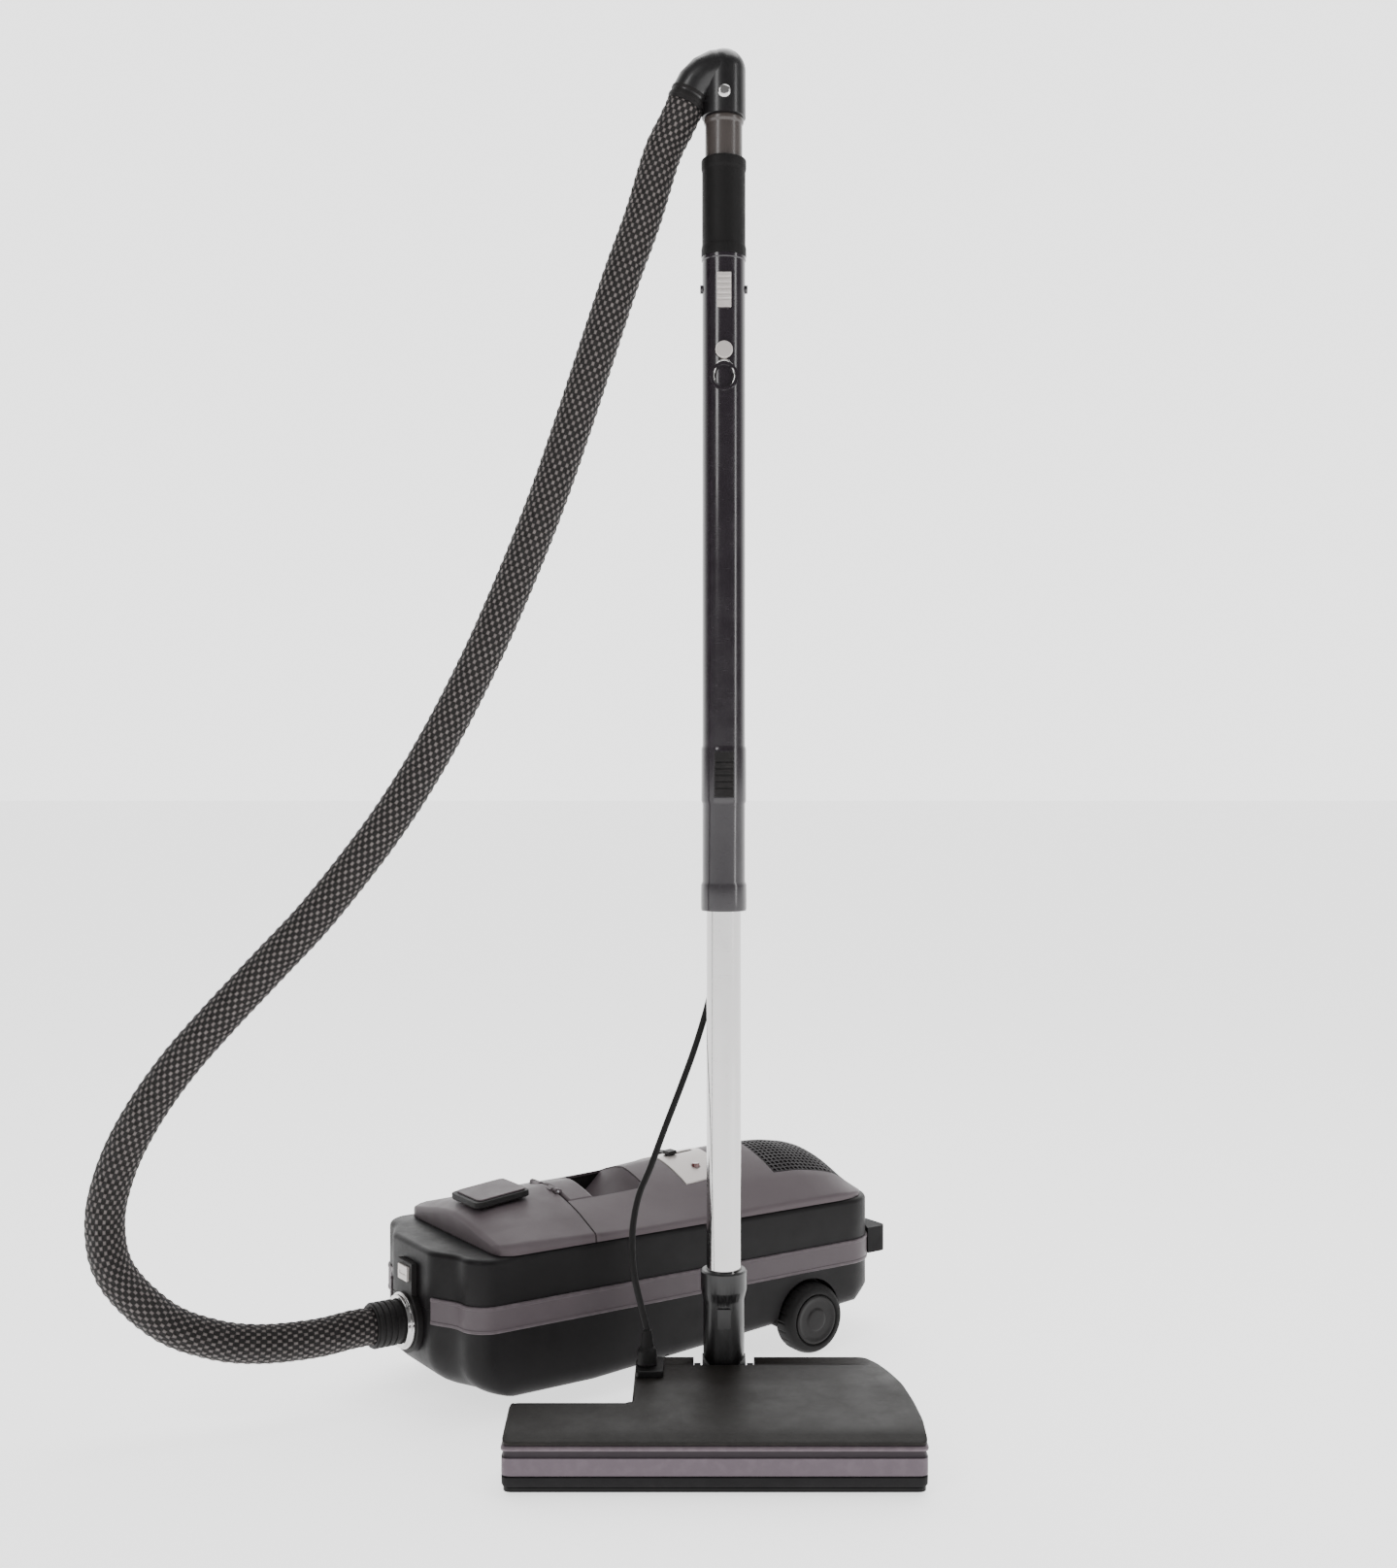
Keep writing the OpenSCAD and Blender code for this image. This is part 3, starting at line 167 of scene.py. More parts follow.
class Graph:
    """Shader nodes of one material, added by short calls."""

    def __init__(self, name):
        self.material = bpy.data.materials.new(name)
        self.material.use_nodes = True
        self.tree = self.material.node_tree
        self.shader = self.tree.nodes["Principled BSDF"]

    def add(self, kind, **sockets):
        node = self.tree.nodes.new(kind)
        for key, value in sockets.items():
            self.feed(node.inputs[key.replace("_", " ")], value)
        return node

    def feed(self, socket, value):
        if isinstance(value, bpy.types.NodeSocket):
            self.tree.links.new(value, socket)
        else:
            socket.default_value = value

    def math(self, operation, a, b=0.0, clamp=False):
        node = self.tree.nodes.new("ShaderNodeMath")
        node.operation = operation
        node.use_clamp = clamp
        self.feed(node.inputs[0], a)
        self.feed(node.inputs[1], b)
        return node.outputs[0]

    def spread(self, value, lo, hi, to_lo, to_hi):
        node = self.tree.nodes.new("ShaderNodeMapRange")
        for socket, number in zip(node.inputs, (value, lo, hi, to_lo, to_hi)):
            self.feed(socket, number)
        return node.outputs[0]

    def noise(self, where, scale, detail=3.0, rough=0.5):
        node = self.add("ShaderNodeTexNoise", Vector=where, Scale=scale, Detail=detail, Roughness=rough)
        return node.outputs["Fac"]

    def stretched(self, where, scale):
        return self.add("ShaderNodeMapping", Vector=where, Scale=scale).outputs[0]

    def blend(self, amount, a, b):
        """Mixes two colours; 6, 7 and 2 are the mix node's colour sockets."""
        node = self.tree.nodes.new("ShaderNodeMix")
        node.data_type = "RGBA"
        self.feed(node.inputs[0], amount)
        self.feed(node.inputs[6], a)
        self.feed(node.inputs[7], b)
        return node.outputs[2]

    def bump(self, height, depth, before=None):
        node = self.add("ShaderNodeBump", Height=height, Distance=depth * MM, Strength=1.0)
        if before is not None:
            self.feed(node.inputs["Normal"], before)
        return node.outputs[0]


def tint(colour, factor):
    return tuple(min(1.0, channel * factor) for channel in colour) + (1.0,)


def weathered(graph, colour, rough, vary, grain, grain_scale, scratch, wear):
    """Mottled colour, smudged roughness, fine grain, faint scratches and rubbed edges."""
    where = graph.add("ShaderNodeTexCoord").outputs["Object"]
    cloud = graph.noise(where, 14, 4)
    base = graph.blend(cloud, tint(colour, 1 - vary), tint(colour, 1 + vary))
    smudge = graph.noise(where, 45, 5, 0.6)
    roughness = graph.spread(smudge, 0.3, 0.7, rough - 0.06, rough + 0.07)
    lines = graph.noise(graph.stretched(where, (60, 700, 900)), 1.0, 2)
    mark = graph.spread(lines, 0.66, 0.72, 0.0, 0.12 * scratch)
    roughness = graph.math("ADD", roughness, mark, clamp=True)
    if wear:
        edge = graph.spread(graph.add("ShaderNodeNewGeometry").outputs["Pointiness"], 0.53, 0.62, 0, 1)
        patchy = graph.spread(graph.noise(where, 120, 4), 0.45, 0.65, 0, wear)
        base = graph.blend(graph.math("MULTIPLY", edge, patchy), base, tint(colour, 2.6))
    up = graph.add("ShaderNodeSeparateXYZ", Vector=graph.add("ShaderNodeNewGeometry").outputs["Normal"])
    dust = graph.spread(up.outputs["Z"], 0.6, 1.0, 0, 0.008)
    speck = graph.spread(graph.noise(where, 260, 3), 0.5, 0.7, 0.2, 1)
    base = graph.blend(graph.math("MULTIPLY", dust, speck), base, (0.45, 0.43, 0.40, 1))
    normal = graph.bump(graph.noise(where, grain_scale, 2), grain)
    normal = graph.bump(mark, 0.04, normal)
    graph.feed(graph.shader.inputs["Base Color"], base)
    graph.feed(graph.shader.inputs["Roughness"], roughness)
    graph.feed(graph.shader.inputs["Normal"], normal)


def make_finish(name):
    colour, rough, metal, coat, vary, grain, grain_scale, scratch, wear = FINISHES[name]
    graph = Graph(name)
    graph.shader.inputs["Metallic"].default_value = metal
    graph.shader.inputs["Coat Weight"].default_value = coat
    graph.shader.inputs["Coat Roughness"].default_value = 0.12
    graph.shader.inputs["Specular IOR Level"].default_value = 0.5 if coat else 0.18
    weathered(graph, colour, rough, vary, grain, grain_scale, scratch, wear)
    return graph.material


# The hose's braid: diamonds round the hose and the length of one diamond, in millimetres
BRAID_ROUND = 16
BRAID_PITCH = 9.6


def make_braid():
    """Two crossing families of dark strands with a bright patch where four strands meet, on the crests: a painted
    highlight.
    """
    graph = Graph("hose_braid")
    uv = graph.add("ShaderNodeSeparateXYZ", Vector=graph.add("ShaderNodeUVMap").outputs[0])
    one = graph.math("ADD", uv.outputs["X"], uv.outputs["Y"])
    two = graph.math("SUBTRACT", uv.outputs["X"], uv.outputs["Y"])
    near_one = graph.math("ABSOLUTE", graph.math("SUBTRACT", graph.math("FRACT", one), 0.5))
    near_two = graph.math("ABSOLUTE", graph.math("SUBTRACT", graph.math("FRACT", two), 0.5))
    off = graph.math("ADD", near_one, near_two)
    # Painted highlight: the braid's crests, where four strands meet, are painted bright.
    crest_highlight = graph.spread(off, 0.24, 0.46, 1, 0)
    where = graph.add("ShaderNodeTexCoord").outputs["Object"]
    cloud = graph.noise(where, 40, 4)
    dark = graph.blend(cloud, (0.008, 0.0065, 0.006, 1), (0.020, 0.016, 0.015, 1))
    thread = graph.add("ShaderNodeTexWave", Vector=graph.add("ShaderNodeUVMap").outputs[0], Scale=14.0)
    thread = thread.outputs["Fac"]
    # The painted highlight's colour, varied along the threads.
    bright = graph.blend(thread, (0.17, 0.145, 0.14, 1), (0.46, 0.41, 0.395, 1))
    fade = graph.spread(graph.noise(where, 150, 3), 0.3, 0.7, 0.65, 1)
    base = graph.blend(graph.math("MULTIPLY", crest_highlight, fade), dark, bright)
    graph.feed(graph.shader.inputs["Base Color"], base)
    graph.feed(graph.shader.inputs["Roughness"], graph.spread(cloud, 0.3, 0.7, 0.42, 0.58))
    graph.feed(graph.shader.inputs["Normal"], graph.bump(thread, 0.25, graph.bump(crest_highlight, 0.2)))
    return graph.material


make_camera()
make_studio()
PAINTS = {name: make_finish(name) for name in FINISHES}
PAINTS["hose_braid"] = make_braid()


# ---- Shapes ----------------------------------------------------------------------------------

MERGE = 2e-6
NO_CAPS = (False, False)
SHELL = 2.4


def face_out(mesh, merge=None):
    """Turns a closed mesh's faces outward; merge also joins points closer than that."""
    form = bmesh.new()
    form.from_mesh(mesh)
    if merge:
        bmesh.ops.remove_doubles(form, verts=form.verts, dist=merge)
    bmesh.ops.recalc_face_normals(form, faces=form.faces)
    if form.calc_volume(signed=True) < 0:
        bmesh.ops.reverse_faces(form, faces=form.faces)
    form.to_mesh(mesh)
    form.free()


def closed_mesh(name, verts, faces, place, sharp=32):
    """A mesh in metres from millimetre points, with outward normals and edges sharp past an angle."""
    mesh = bpy.data.meshes.new(name)
    mesh.from_pydata([place @ Vector(v) for v in verts], [], faces)
    face_out(mesh, MERGE)
    mesh.shade_smooth()
    mesh.set_sharp_from_angle(angle=math.radians(sharp))
    return mesh


def piece(name, mesh, slot, body, *nodes):
    ob = link(bpy.data.objects.new(name, mesh))
    mesh.materials.append(PAINTS[slot])
    if nodes:
        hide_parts(*nodes)
    if body:
        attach(ob, body)
    return ob


def solid(name, shape, place, slot, body, *nodes, sharp=32):
    """A closed piece from a shape's points and faces."""
    return piece(name, closed_mesh(name, *shape, place, sharp), slot, body, *nodes)


def ease(ob, width, angle=30, segments=3):
    """Rounds a piece's sharp edges."""
    rim = ob.modifiers.new("rim", "BEVEL")
    rim.width = width * MM
    rim.segments = segments
    rim.limit_method = "ANGLE"
    rim.angle_limit = math.radians(angle)
    rim.use_clamp_overlap = True
    rim.harden_normals = False
    weigh = ob.modifiers.new("weigh", "WEIGHTED_NORMAL")
    weigh.keep_sharp = True
    return ob


def carve(ob, verts, faces, place, operation="DIFFERENCE"):
    """Cuts a block out of a piece, or joins it on, for good. The exact solver fills a thin shell in."""
    tool = link(bpy.data.objects.new("tool", closed_mesh("tool", verts, faces, place)))
    cut = ob.modifiers.new("cut", "BOOLEAN")
    cut.operation = operation
    cut.solver = "FAST"
    cut.object = tool
    settle(ob)
    bpy.data.objects.remove(tool)


def settle(ob):
    """Replaces a piece's mesh with what its modifiers make of it."""
    bpy.context.view_layer.update()
    solid = bpy.data.meshes.new_from_object(ob.evaluated_get(bpy.context.evaluated_depsgraph_get()))
    face_out(solid)
    ob.modifiers.clear()
    ob.data = solid


def block(lo, hi):
    verts = [(x, y, z) for x in (lo[0], hi[0]) for y in (lo[1], hi[1]) for z in (lo[2], hi[2])]
    faces = [(0, 1, 3, 2), (4, 6, 7, 5), (0, 4, 5, 1), (2, 3, 7, 6), (0, 2, 6, 4), (1, 5, 7, 3)]
    return verts, faces


def rings_to_faces(rows, around, wrap=True):
    faces = []
    span = around if wrap else around - 1
    for i in range(rows - 1):
        for j in range(span):
            k = (j + 1) % around
            faces.append((i * around + j, i * around + k, (i + 1) * around + k, (i + 1) * around + j))
    return faces


def loft(rings, caps=(True, True), wrap=True):
    """Quads through rings of equal count, with a flat face over the first and last ring where asked."""
    around = len(rings[0])
    verts = [p for ring in rings for p in ring]
    faces = rings_to_faces(len(rings), around, wrap)
    if caps[0]:
        faces.append(tuple(range(around)))
    if caps[1]:
        faces.append(tuple(range(len(verts) - around, len(verts))))
    return verts, faces


def lathe(profile, sides=72, turn=None):
    """Spins (radius, height) points about Z."""
    rings = []
    for radius, height in profile:
        ring = []
        for j in range(sides):
            angle = 2 * math.pi * j / sides
            ring.append((radius * math.cos(angle), radius * math.sin(angle), height))
        rings.append(ring)
    verts, faces = loft(rings)
    if turn is not None:
        verts = [tuple(turn @ Vector(v)) for v in verts]
    return verts, faces


def soften(points, radius, steps=5, closed=False):
    """Rounds a polyline's corners with short curves."""
    count = len(points)
    out = []
    for i, point in enumerate(points):
        if not closed and i in (0, count - 1):
            out.append(tuple(point))
            continue
        here = Vector(point)
        back = Vector(points[i - 1]) - here
        ahead = Vector(points[(i + 1) % count]) - here
        reach = min(radius, back.length * 0.48, ahead.length * 0.48)
        start = here + back.normalized() * reach
        end = here + ahead.normalized() * reach
        for k in range(steps + 1):
            t = k / steps
            out.append(tuple(start * (1 - t) ** 2 + here * (2 * t * (1 - t)) + end * t ** 2))
    return out


def look(table, x):
    """Straight-line reading of a table of (x, value)."""
    if x <= table[0][0]:
        return table[0][1]
    for (x0, v0), (x1, v1) in zip(table, table[1:]):
        if x <= x1:
            return v0 + (v1 - v0) * (x - x0) / (x1 - x0)
    return table[-1][1]


def eased(table, x, reach=9):
    """The same reading, averaged over a short stretch so that its corners round."""
    shifts = (-1, -0.66, -0.33, 0, 0.33, 0.66, 1)
    return sum(look(table, x + reach * s) for s in shifts) / len(shifts)


# ---- Hose and cords --------------------------------------------------------------------------

HOSE_R = 18
CORD_R = 3
NOSE_X = -300
PORT_Z = 77
ELBOW = Vector((-36, 0, 1222))
HOSE_LEAN = math.radians(205.5)


def port_point(out):
    return CAN @ Vector((NOSE_X - out, 0, PORT_Z))


def elbow_point(out):
    return WAND @ (ELBOW + out * Vector((math.sin(HOSE_LEAN), 0, math.cos(HOSE_LEAN))))


# Points that the hose passes through between its two ends, millimetres, part frame
HOSE_WAY = [
    (-297, -118, 75), (-341, -140, 77), (-381, -155, 86), (-424, -166, 107), (-463, -174, 150),
    (-472, -178, 197), (-462, -180, 244), (-440, -181, 290), (-407, -181, 338), (-368, -180, 383),
    (-323, -178, 431), (-278, -176, 480), (-220, -171, 556), (-177, -166, 626), (-136, -161, 707),
    (-102, -155, 787), (-75, -150, 858), (-51, -145, 930), (-27, -139, 1006), (-9, -135, 1062),
    (10, -130, 1117),
]
CORD_WAY = [
    (81, -102, 470), (81, -102, 452), (79, -103, 425), (71, -106, 388), (59, -111, 348), (45, -117, 310),
    (30, -124, 272), (17, -132, 238), (7, -140, 215), (2, -148, 192), (1, -154, 170), (3, -159, 146),
    (9, -162, 120), (15, -162, 97),
]


def smooth_route(points, step):
    """A Catmull-Rom curve through points, in even steps of about that length."""
    padded = [points[0]] + points + [points[-1]]
    dense = []
    for p0, p1, p2, p3 in zip(padded, padded[1:], padded[2:], padded[3:]):
        for k in range(24):
            t = k / 24
            dense.append(0.5 * ((2 * p1) + (p2 - p0) * t + (2 * p0 - 5 * p1 + 4 * p2 - p3) * t ** 2
                                + (3 * p1 - p0 - 3 * p2 + p3) * t ** 3))
    dense.append(points[-1])
    reach = [0.0]
    for a, b in zip(dense, dense[1:]):
        reach.append(reach[-1] + (b - a).length)
    count = max(2, round(reach[-1] / step))
    even = []
    i = 0
    for k in range(count + 1):
        want = reach[-1] * k / count
        while i < len(reach) - 2 and reach[i + 1] < want:
            i += 1
        span = reach[i + 1] - reach[i]
        even.append(dense[i].lerp(dense[i + 1], (want - reach[i]) / span if span else 0))
    return even, reach[-1]


def tube(name, route, sides, radius_at, turns_uv=None):
    """A tube along a route, with UVs that count round it and along it."""
    normal = Vector((0, 1, 0))
    verts = []
    for i, point in enumerate(route):
        along = (route[min(i + 1, len(route) - 1)] - route[max(i - 1, 0)]).normalized()
        normal = (normal - along * normal.dot(along)).normalized()
        side = along.cross(normal)
        for j in range(sides):
            angle = 2 * math.pi * j / sides
            radius = radius_at(i, j) * MM
            verts.append(point + (normal * math.cos(angle) + side * math.sin(angle)) * radius)
    faces = rings_to_faces(len(route), sides)
    mesh = bpy.data.meshes.new(name)
    ends = [tuple(range(sides)), tuple(range(len(verts) - sides, len(verts)))]
    mesh.from_pydata(verts, [], faces + ends)
    if turns_uv:
        layer = mesh.uv_layers.new(name="braid")
        step = (route[1] - route[0]).length / MM
        for face in mesh.polygons:
            if len(face.vertices) > 4:
                continue
            row = face.index // sides
            col = face.index % sides
            corners = ((row, col), (row, col + 1), (row + 1, col + 1), (row + 1, col))
            for loop, (r, c) in zip(face.loop_indices, corners):
                layer.data[loop].uv = (c * turns_uv[0] / sides, r * step / turns_uv[1])
    face_out(mesh)
    mesh.shade_smooth()
    mesh.set_sharp_from_angle(angle=math.radians(60))
    return mesh


HOSE_SIDES = 96
HOSE_STEP = 2.1


def braid_radius(i, j):
    """The strands stand proud by turns, so the outline is scalloped."""
    across = j * BRAID_ROUND / HOSE_SIDES
    along = i * HOSE_STEP / BRAID_PITCH
    one = abs(math.sin(math.pi * (across + along)))
    two = abs(math.sin(math.pi * (across - along)))
    over = math.sin(math.pi * (across + along)) * math.sin(math.pi * (across - along))
    coil = 0.35 * math.cos(2 * math.pi * along)
    return HOSE_R - 1.6 + 1.25 * (one if over > 0 else two) + coil


def make_hose():
    points = [port_point(0.1), port_point(20)]
    points += [Vector(p) * MM for p in HOSE_WAY]
    points += [elbow_point(50), elbow_point(20), elbow_point(0.1)]
    route, length = smooth_route(points, HOSE_STEP * MM)
    mesh = tube("braided_hose", route, HOSE_SIDES, braid_radius, (BRAID_ROUND, BRAID_PITCH))
    hose = piece("braided_hose", mesh, "hose_braid", None, "hose")
    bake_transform(hose)


def cord_radius(i, _):
    """Ribs over the first few steps, where the cord leaves its strain relief."""
    relief = max(0.0, 1 - i / 9)
    return CORD_R + 0.9 * relief * (0.6 + 0.4 * math.cos(math.pi * i))


def make_nozzle_cord():
    route, length = smooth_route([Vector(p) * MM for p in CORD_WAY], 3 * MM)
    mesh = tube("nozzle_lead", route, 24, cord_radius)
    cord = piece("nozzle_lead", mesh, "cord_black", None, "nozzle_cord")
    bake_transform(cord)


make_hose()
make_nozzle_cord()


# ---- Canister top ----------------------------------------------------------------------------

COVER_Z = 151.3
HOOD_X = (-214, -111.8)
COVER_X = (-110.2, 236)
SLOPE = 34
WIDTHS = [(-214, 88), (-211, 95), (-205, 100), (-196, 102.3), (190, 102.3), (205, 100), (220, 94),
          (230, 84), (236, 70)]
TOPS = [(-214, 173), (-195, 180), (-170, 184), (-110, 188), (-60, 191), (0, 196), (60, 201), (120, 203),
        (160, 202), (190, 197), (210, 190), (226, 180), (236, 170)]
EDGES = [(-214, 160), (-196, 162), (-150, 160), (-60, 157), (190, 158), (236, 154)]
DROPS = [(-214, 8), (-170, 12), (-110, 15), (-60, 19), (-20, 22), (190, 22), (236, 14)]


def cover_section(x, inset):
    """Half of the cover's outline at a station, from the lower edge up to the crest."""
    wide = look(WIDTHS, x) - inset
    top = eased(TOPS, x) - inset
    edge = eased(EDGES, x) - 0.6 * inset
    drop = eased(DROPS, x)
    crest = wide - SLOPE + inset
    path = [(wide, COVER_Z), (wide, edge), (crest, top - drop)]
    path += [(crest * t, top - drop * t ** 1.5) for t in (0.82, 0.64, 0.48, 0.34, 0.22, 0.12, 0.05)]
    return soften(path + [(0, top)], 7, 6)


def cover_height(x, y):
    """The cover's surface above a point of the plan."""
    path = cover_section(x, 0)
    for (y1, z1), (y0, z0) in zip(path, path[1:]):
        if y0 <= abs(y) <= y1 and y1 > y0:
            return z0 + (z1 - z0) * (abs(y) - y0) / (y1 - y0)
    return path[-1][1]


def stations(x0, x1, round0, round1, pitch=7):
    """(x, inset) along a stretch, crowded where an end is rounded."""
    steps = 6
    out = []
    if round0:
        out += [(x0 + round0 * (1 - math.cos(math.pi / 2 * k / steps)),
                 round0 * (1 - math.sin(math.pi / 2 * k / steps))) for k in range(steps)]
    first = x0 + round0
    last = x1 - round1
    count = max(2, round((last - first) / pitch))
    out += [(first + (last - first) * k / count, 0) for k in range(count + 1)]
    if round1:
        out += [(last + round1 * math.sin(math.pi / 2 * k / steps),
                 round1 * (1 - math.cos(math.pi / 2 * k / steps))) for k in range(1, steps + 1)]
    return out


def cover_skin(name, x0, x1, round0, round1):
    """A stretch of the crowned cover as a shell that is open below."""
    rings = []
    for x, inset in stations(x0, x1, round0, round1):
        half = cover_section(x, inset)
        rings.append([(x, y, z) for y, z in half] + [(x, -y, z) for y, z in reversed(half[:-1])])
    skin = loft(rings, (round0, round1), wrap=False)
    return thicken(name, *skin, ((x0 + x1) / 2, 0, COVER_Z))


def thicken(name, verts, faces, centre):
    """An open skin made into a shell, its thickness on the side of a point inside."""
    mesh = closed_mesh(name, verts, faces, CAN)
    outward(mesh, CAN @ Vector(centre))
    ob = link(bpy.data.objects.new(name, mesh))
    shell = ob.modifiers.new("shell", "SOLIDIFY")
    shell.thickness = SHELL * MM
    shell.offset = -1
    settle(ob)
    return ob


def outward(mesh, centre):
    """Turns an open skin's faces away from a point."""
    total = sum((f.center - centre).dot(f.normal) * f.area for f in mesh.polygons)
    if total < 0:
        mesh.flip_normals()


def adopt(ob, slot, body, *nodes):
    """Gives a finished object its finish and body, and hides the nodes that it stands for."""
    ob.data.materials.clear()
    ob.data.materials.append(PAINTS[slot])
    ob.data.shade_smooth()
    ob.data.set_sharp_from_angle(angle=math.radians(32))
    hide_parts(*nodes)
    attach(ob, body)
    return ob


def cover_patch(x0, x1, half, lift, thick, pitch=5):
    """A solid patch that follows the cover's surface."""
    nx = max(2, round((x1 - x0) / pitch))
    ny = max(2, round(2 * half / pitch))
    top = []
    for i in range(nx + 1):
        x = x0 + (x1 - x0) * i / nx
        for j in range(ny + 1):
            y = -half + 2 * half * j / ny
            top.append((x, y, cover_height(x, y) + lift))
    low = [(x, y, z - thick) for x, y, z in top]
    size = len(top)
    row = ny + 1
    faces = rings_to_faces(nx + 1, row, wrap=False)
    faces += [tuple(reversed([v + size for v in f])) for f in faces]
    rim = list(range(row)) + [i * row + ny for i in range(1, nx + 1)]
    rim += [nx * row + j for j in range(ny - 1, -1, -1)] + [i * row for i in range(nx - 1, 0, -1)]
    for a, b in zip(rim, rim[1:] + rim[:1]):
        faces.append((a, b, b + size, a + size))
    return top + low, faces


HINGE_X = -111
HINGE_Z = 185.5
HINGE_R = 3
LATCH_X = -172
LATCH_LEAN = 6.5
POCKET_X = -19
POCKET_Y = 46
PANEL = (23, 77, 57)
GRILLE = (129, 225, 65)


def make_top_cover():
    ob = cover_skin("cover_shell", *COVER_X, 0, 9)
    carve(ob, *block((-130, -POCKET_Y, 140), (POCKET_X, POCKET_Y, 230)), CAN)
    carve(ob, *block((PANEL[0] - 0.5, -PANEL[2] - 0.5, 160), (PANEL[1] + 0.5, PANEL[2] + 0.5, 230)), CAN)
    carve(ob, *block((GRILLE[0] - 0.5, -GRILLE[2] - 0.5, 153), (GRILLE[1] + 0.5, GRILLE[2] + 0.5, 230)), CAN)
    adopt(ob, "cover_mauve", "root", "top_cover")
    ease(ob, 0.8, 40, 2)


def make_scoop():
    """The finger well behind the handle: side walls and a curved ramp up to the cover."""
    top = cover_height(POCKET_X, 0) - 1.2
    line = soften([(-106, 152.5), (-62, 152.5), (-46, 158), (-30, 176), (POCKET_X - 0.4, top)], 14, 5)
    rings = []
    for y in (-POCKET_Y + 0.4, -30, -15, 0, 15, 30, POCKET_Y - 0.4):
        sag = cover_height(POCKET_X, 0) - cover_height(POCKET_X, y)
        upper = [(x, y, z - sag * max(0, (z - 158) / (top - 158))) for x, z in line]
        rings.append(upper + [(x + 1.2, y, z - 1.9) for x, y, z in reversed(upper)])
    ease(solid("finger_well", loft(rings), CAN, "cover_mauve", "root"), 0.5, 40, 2)


# A thin side wall of the finger well. The wall itself is real, but its black colour is painted shade for the dark
# inside of the well.
def make_well_shade_wall(name, side):
    y = side * (POCKET_Y + 0.9)
    path = [(x, cover_height(x, y) - 2.6) for x in range(-108, -18, 8)]
    outline = [(-108, 152)] + path + [(-19, 152)]
    rings = [[(x, y + shift, z) for x, z in outline] for shift in (-0.7, 0.7)]
    solid(name, loft(rings), CAN, "soft_black", "root")


def make_handle():
    bar = cover_patch(-108.2, -80, POCKET_Y - 0.8, -0.2, 11, 3)
    ob = ease(solid("carry_bar", bar, CAN, "cover_mauve", "root"), 2.6)
    settle(ob)
    for side in (-1, 1):
        y0, y1 = sorted((side * 7.4, side * 19.9))
        carve(ob, *block((-113, y0, 178), (-107.4, y1, 220)), CAN)
        y0, y1 = sorted((side * 38, side * 45.3))
        carve(ob, *block((-104, y0, 152), (-82, y1, 176)), CAN, "UNION")
    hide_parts("carry_handle")
    for side, name in ((-1, "hinge_eye_near"), (1, "hinge_eye_far")):
        y0, y1 = sorted((side * 20, side * 27))
        hinge_eye(name, y0, y1, 5, "root")


def hinge_eye(name, y0, y1, arm, body):
    """A hinge barrel with an arm that runs back into its own part."""
    outline = [(arm, -2), (arm, 1.2)]
    for k in range(17):
        angle = math.pi * (0.42 + 1.16 * k / 16)
        outline.append((math.copysign(HINGE_R, arm) * math.cos(angle), HINGE_R * math.sin(angle)))
    rings = [[(HINGE_X + x, y, HINGE_Z + z) for x, z in outline] for y in (y0, y1)]
    ease(solid(name, loft(rings), CAN, "cover_mauve", body), 0.4, 50, 2)


def make_hood():
    ob = cover_skin("hood_shell", *HOOD_X, 4, 0)
    for side in (-1, 1):
        y0, y1 = sorted((side * 19.7, side * 28.6))
        carve(ob, *block((-114.6, y0, 180), (-110, y1, 220)), CAN)
    carve(ob, *block((-191, -8.6, 165), (-159, 8.6, 178)), CAN)
    adopt(ob, "cover_mauve", "hood", "bag_hood")
    ease(ob, 0.8, 40, 2)
    for side, name in ((-1, "hood_eye_near"), (1, "hood_eye_far")):
        y0, y1 = sorted((side * 8, side * 19.5))
        hinge_eye(name, y0, y1, -5, "hood")


def make_panel():
    plate = cover_patch(PANEL[0] + 0.3, PANEL[1] - 0.3, PANEL[2] - 0.3, 0.8, 2.6, 4)
    ob = ease(solid("switch_panel", plate, CAN, "silver_plastic", "root"), 0.7)
    settle(ob)
    top = cover_height(50, 0)
    carve(ob, *block((33, -3.4, top - 12), (67, 3.4, top + 12)), CAN)
    for y, radius in ((34, 7.4), (-34, 4.3)):
        carve(ob, *lathe([(radius, 150), (radius, 230)], 40, Matrix.Translation((50, y, 0))), CAN)
    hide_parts("control_panel")


def make_grille():
    """A curved lattice of small holes over a dark liner."""
    x0, x1, half = GRILLE[0] + 0.4, GRILLE[1] - 0.4, GRILLE[2] - 0.4
    verts, faces = cover_patch(x0, x1, half, 0, 2.2, 5.6)
    mesh = closed_mesh("vent_grille", verts, faces, CAN)
    form = bmesh.new()
    form.from_mesh(mesh)
    form.faces.ensure_lookup_table()
    up = [f for f in form.faces if f.normal.z > 0.35]
    bmesh.ops.inset_individual(form, faces=up, thickness=1.35 * MM, depth=0)
    bmesh.ops.inset_individual(form, faces=up, thickness=0.25 * MM, depth=-1.5 * MM)
    form.to_mesh(mesh)
    form.free()
    mesh.set_sharp_from_angle(angle=math.radians(30))
    piece("vent_grille", mesh, "grille_black", "root", "exhaust_grille")


make_top_cover()
make_scoop()
make_well_shade_wall("well_side_near", -1)
make_well_shade_wall("well_side_far", 1)
make_handle()
make_hood()
make_panel()
make_grille()


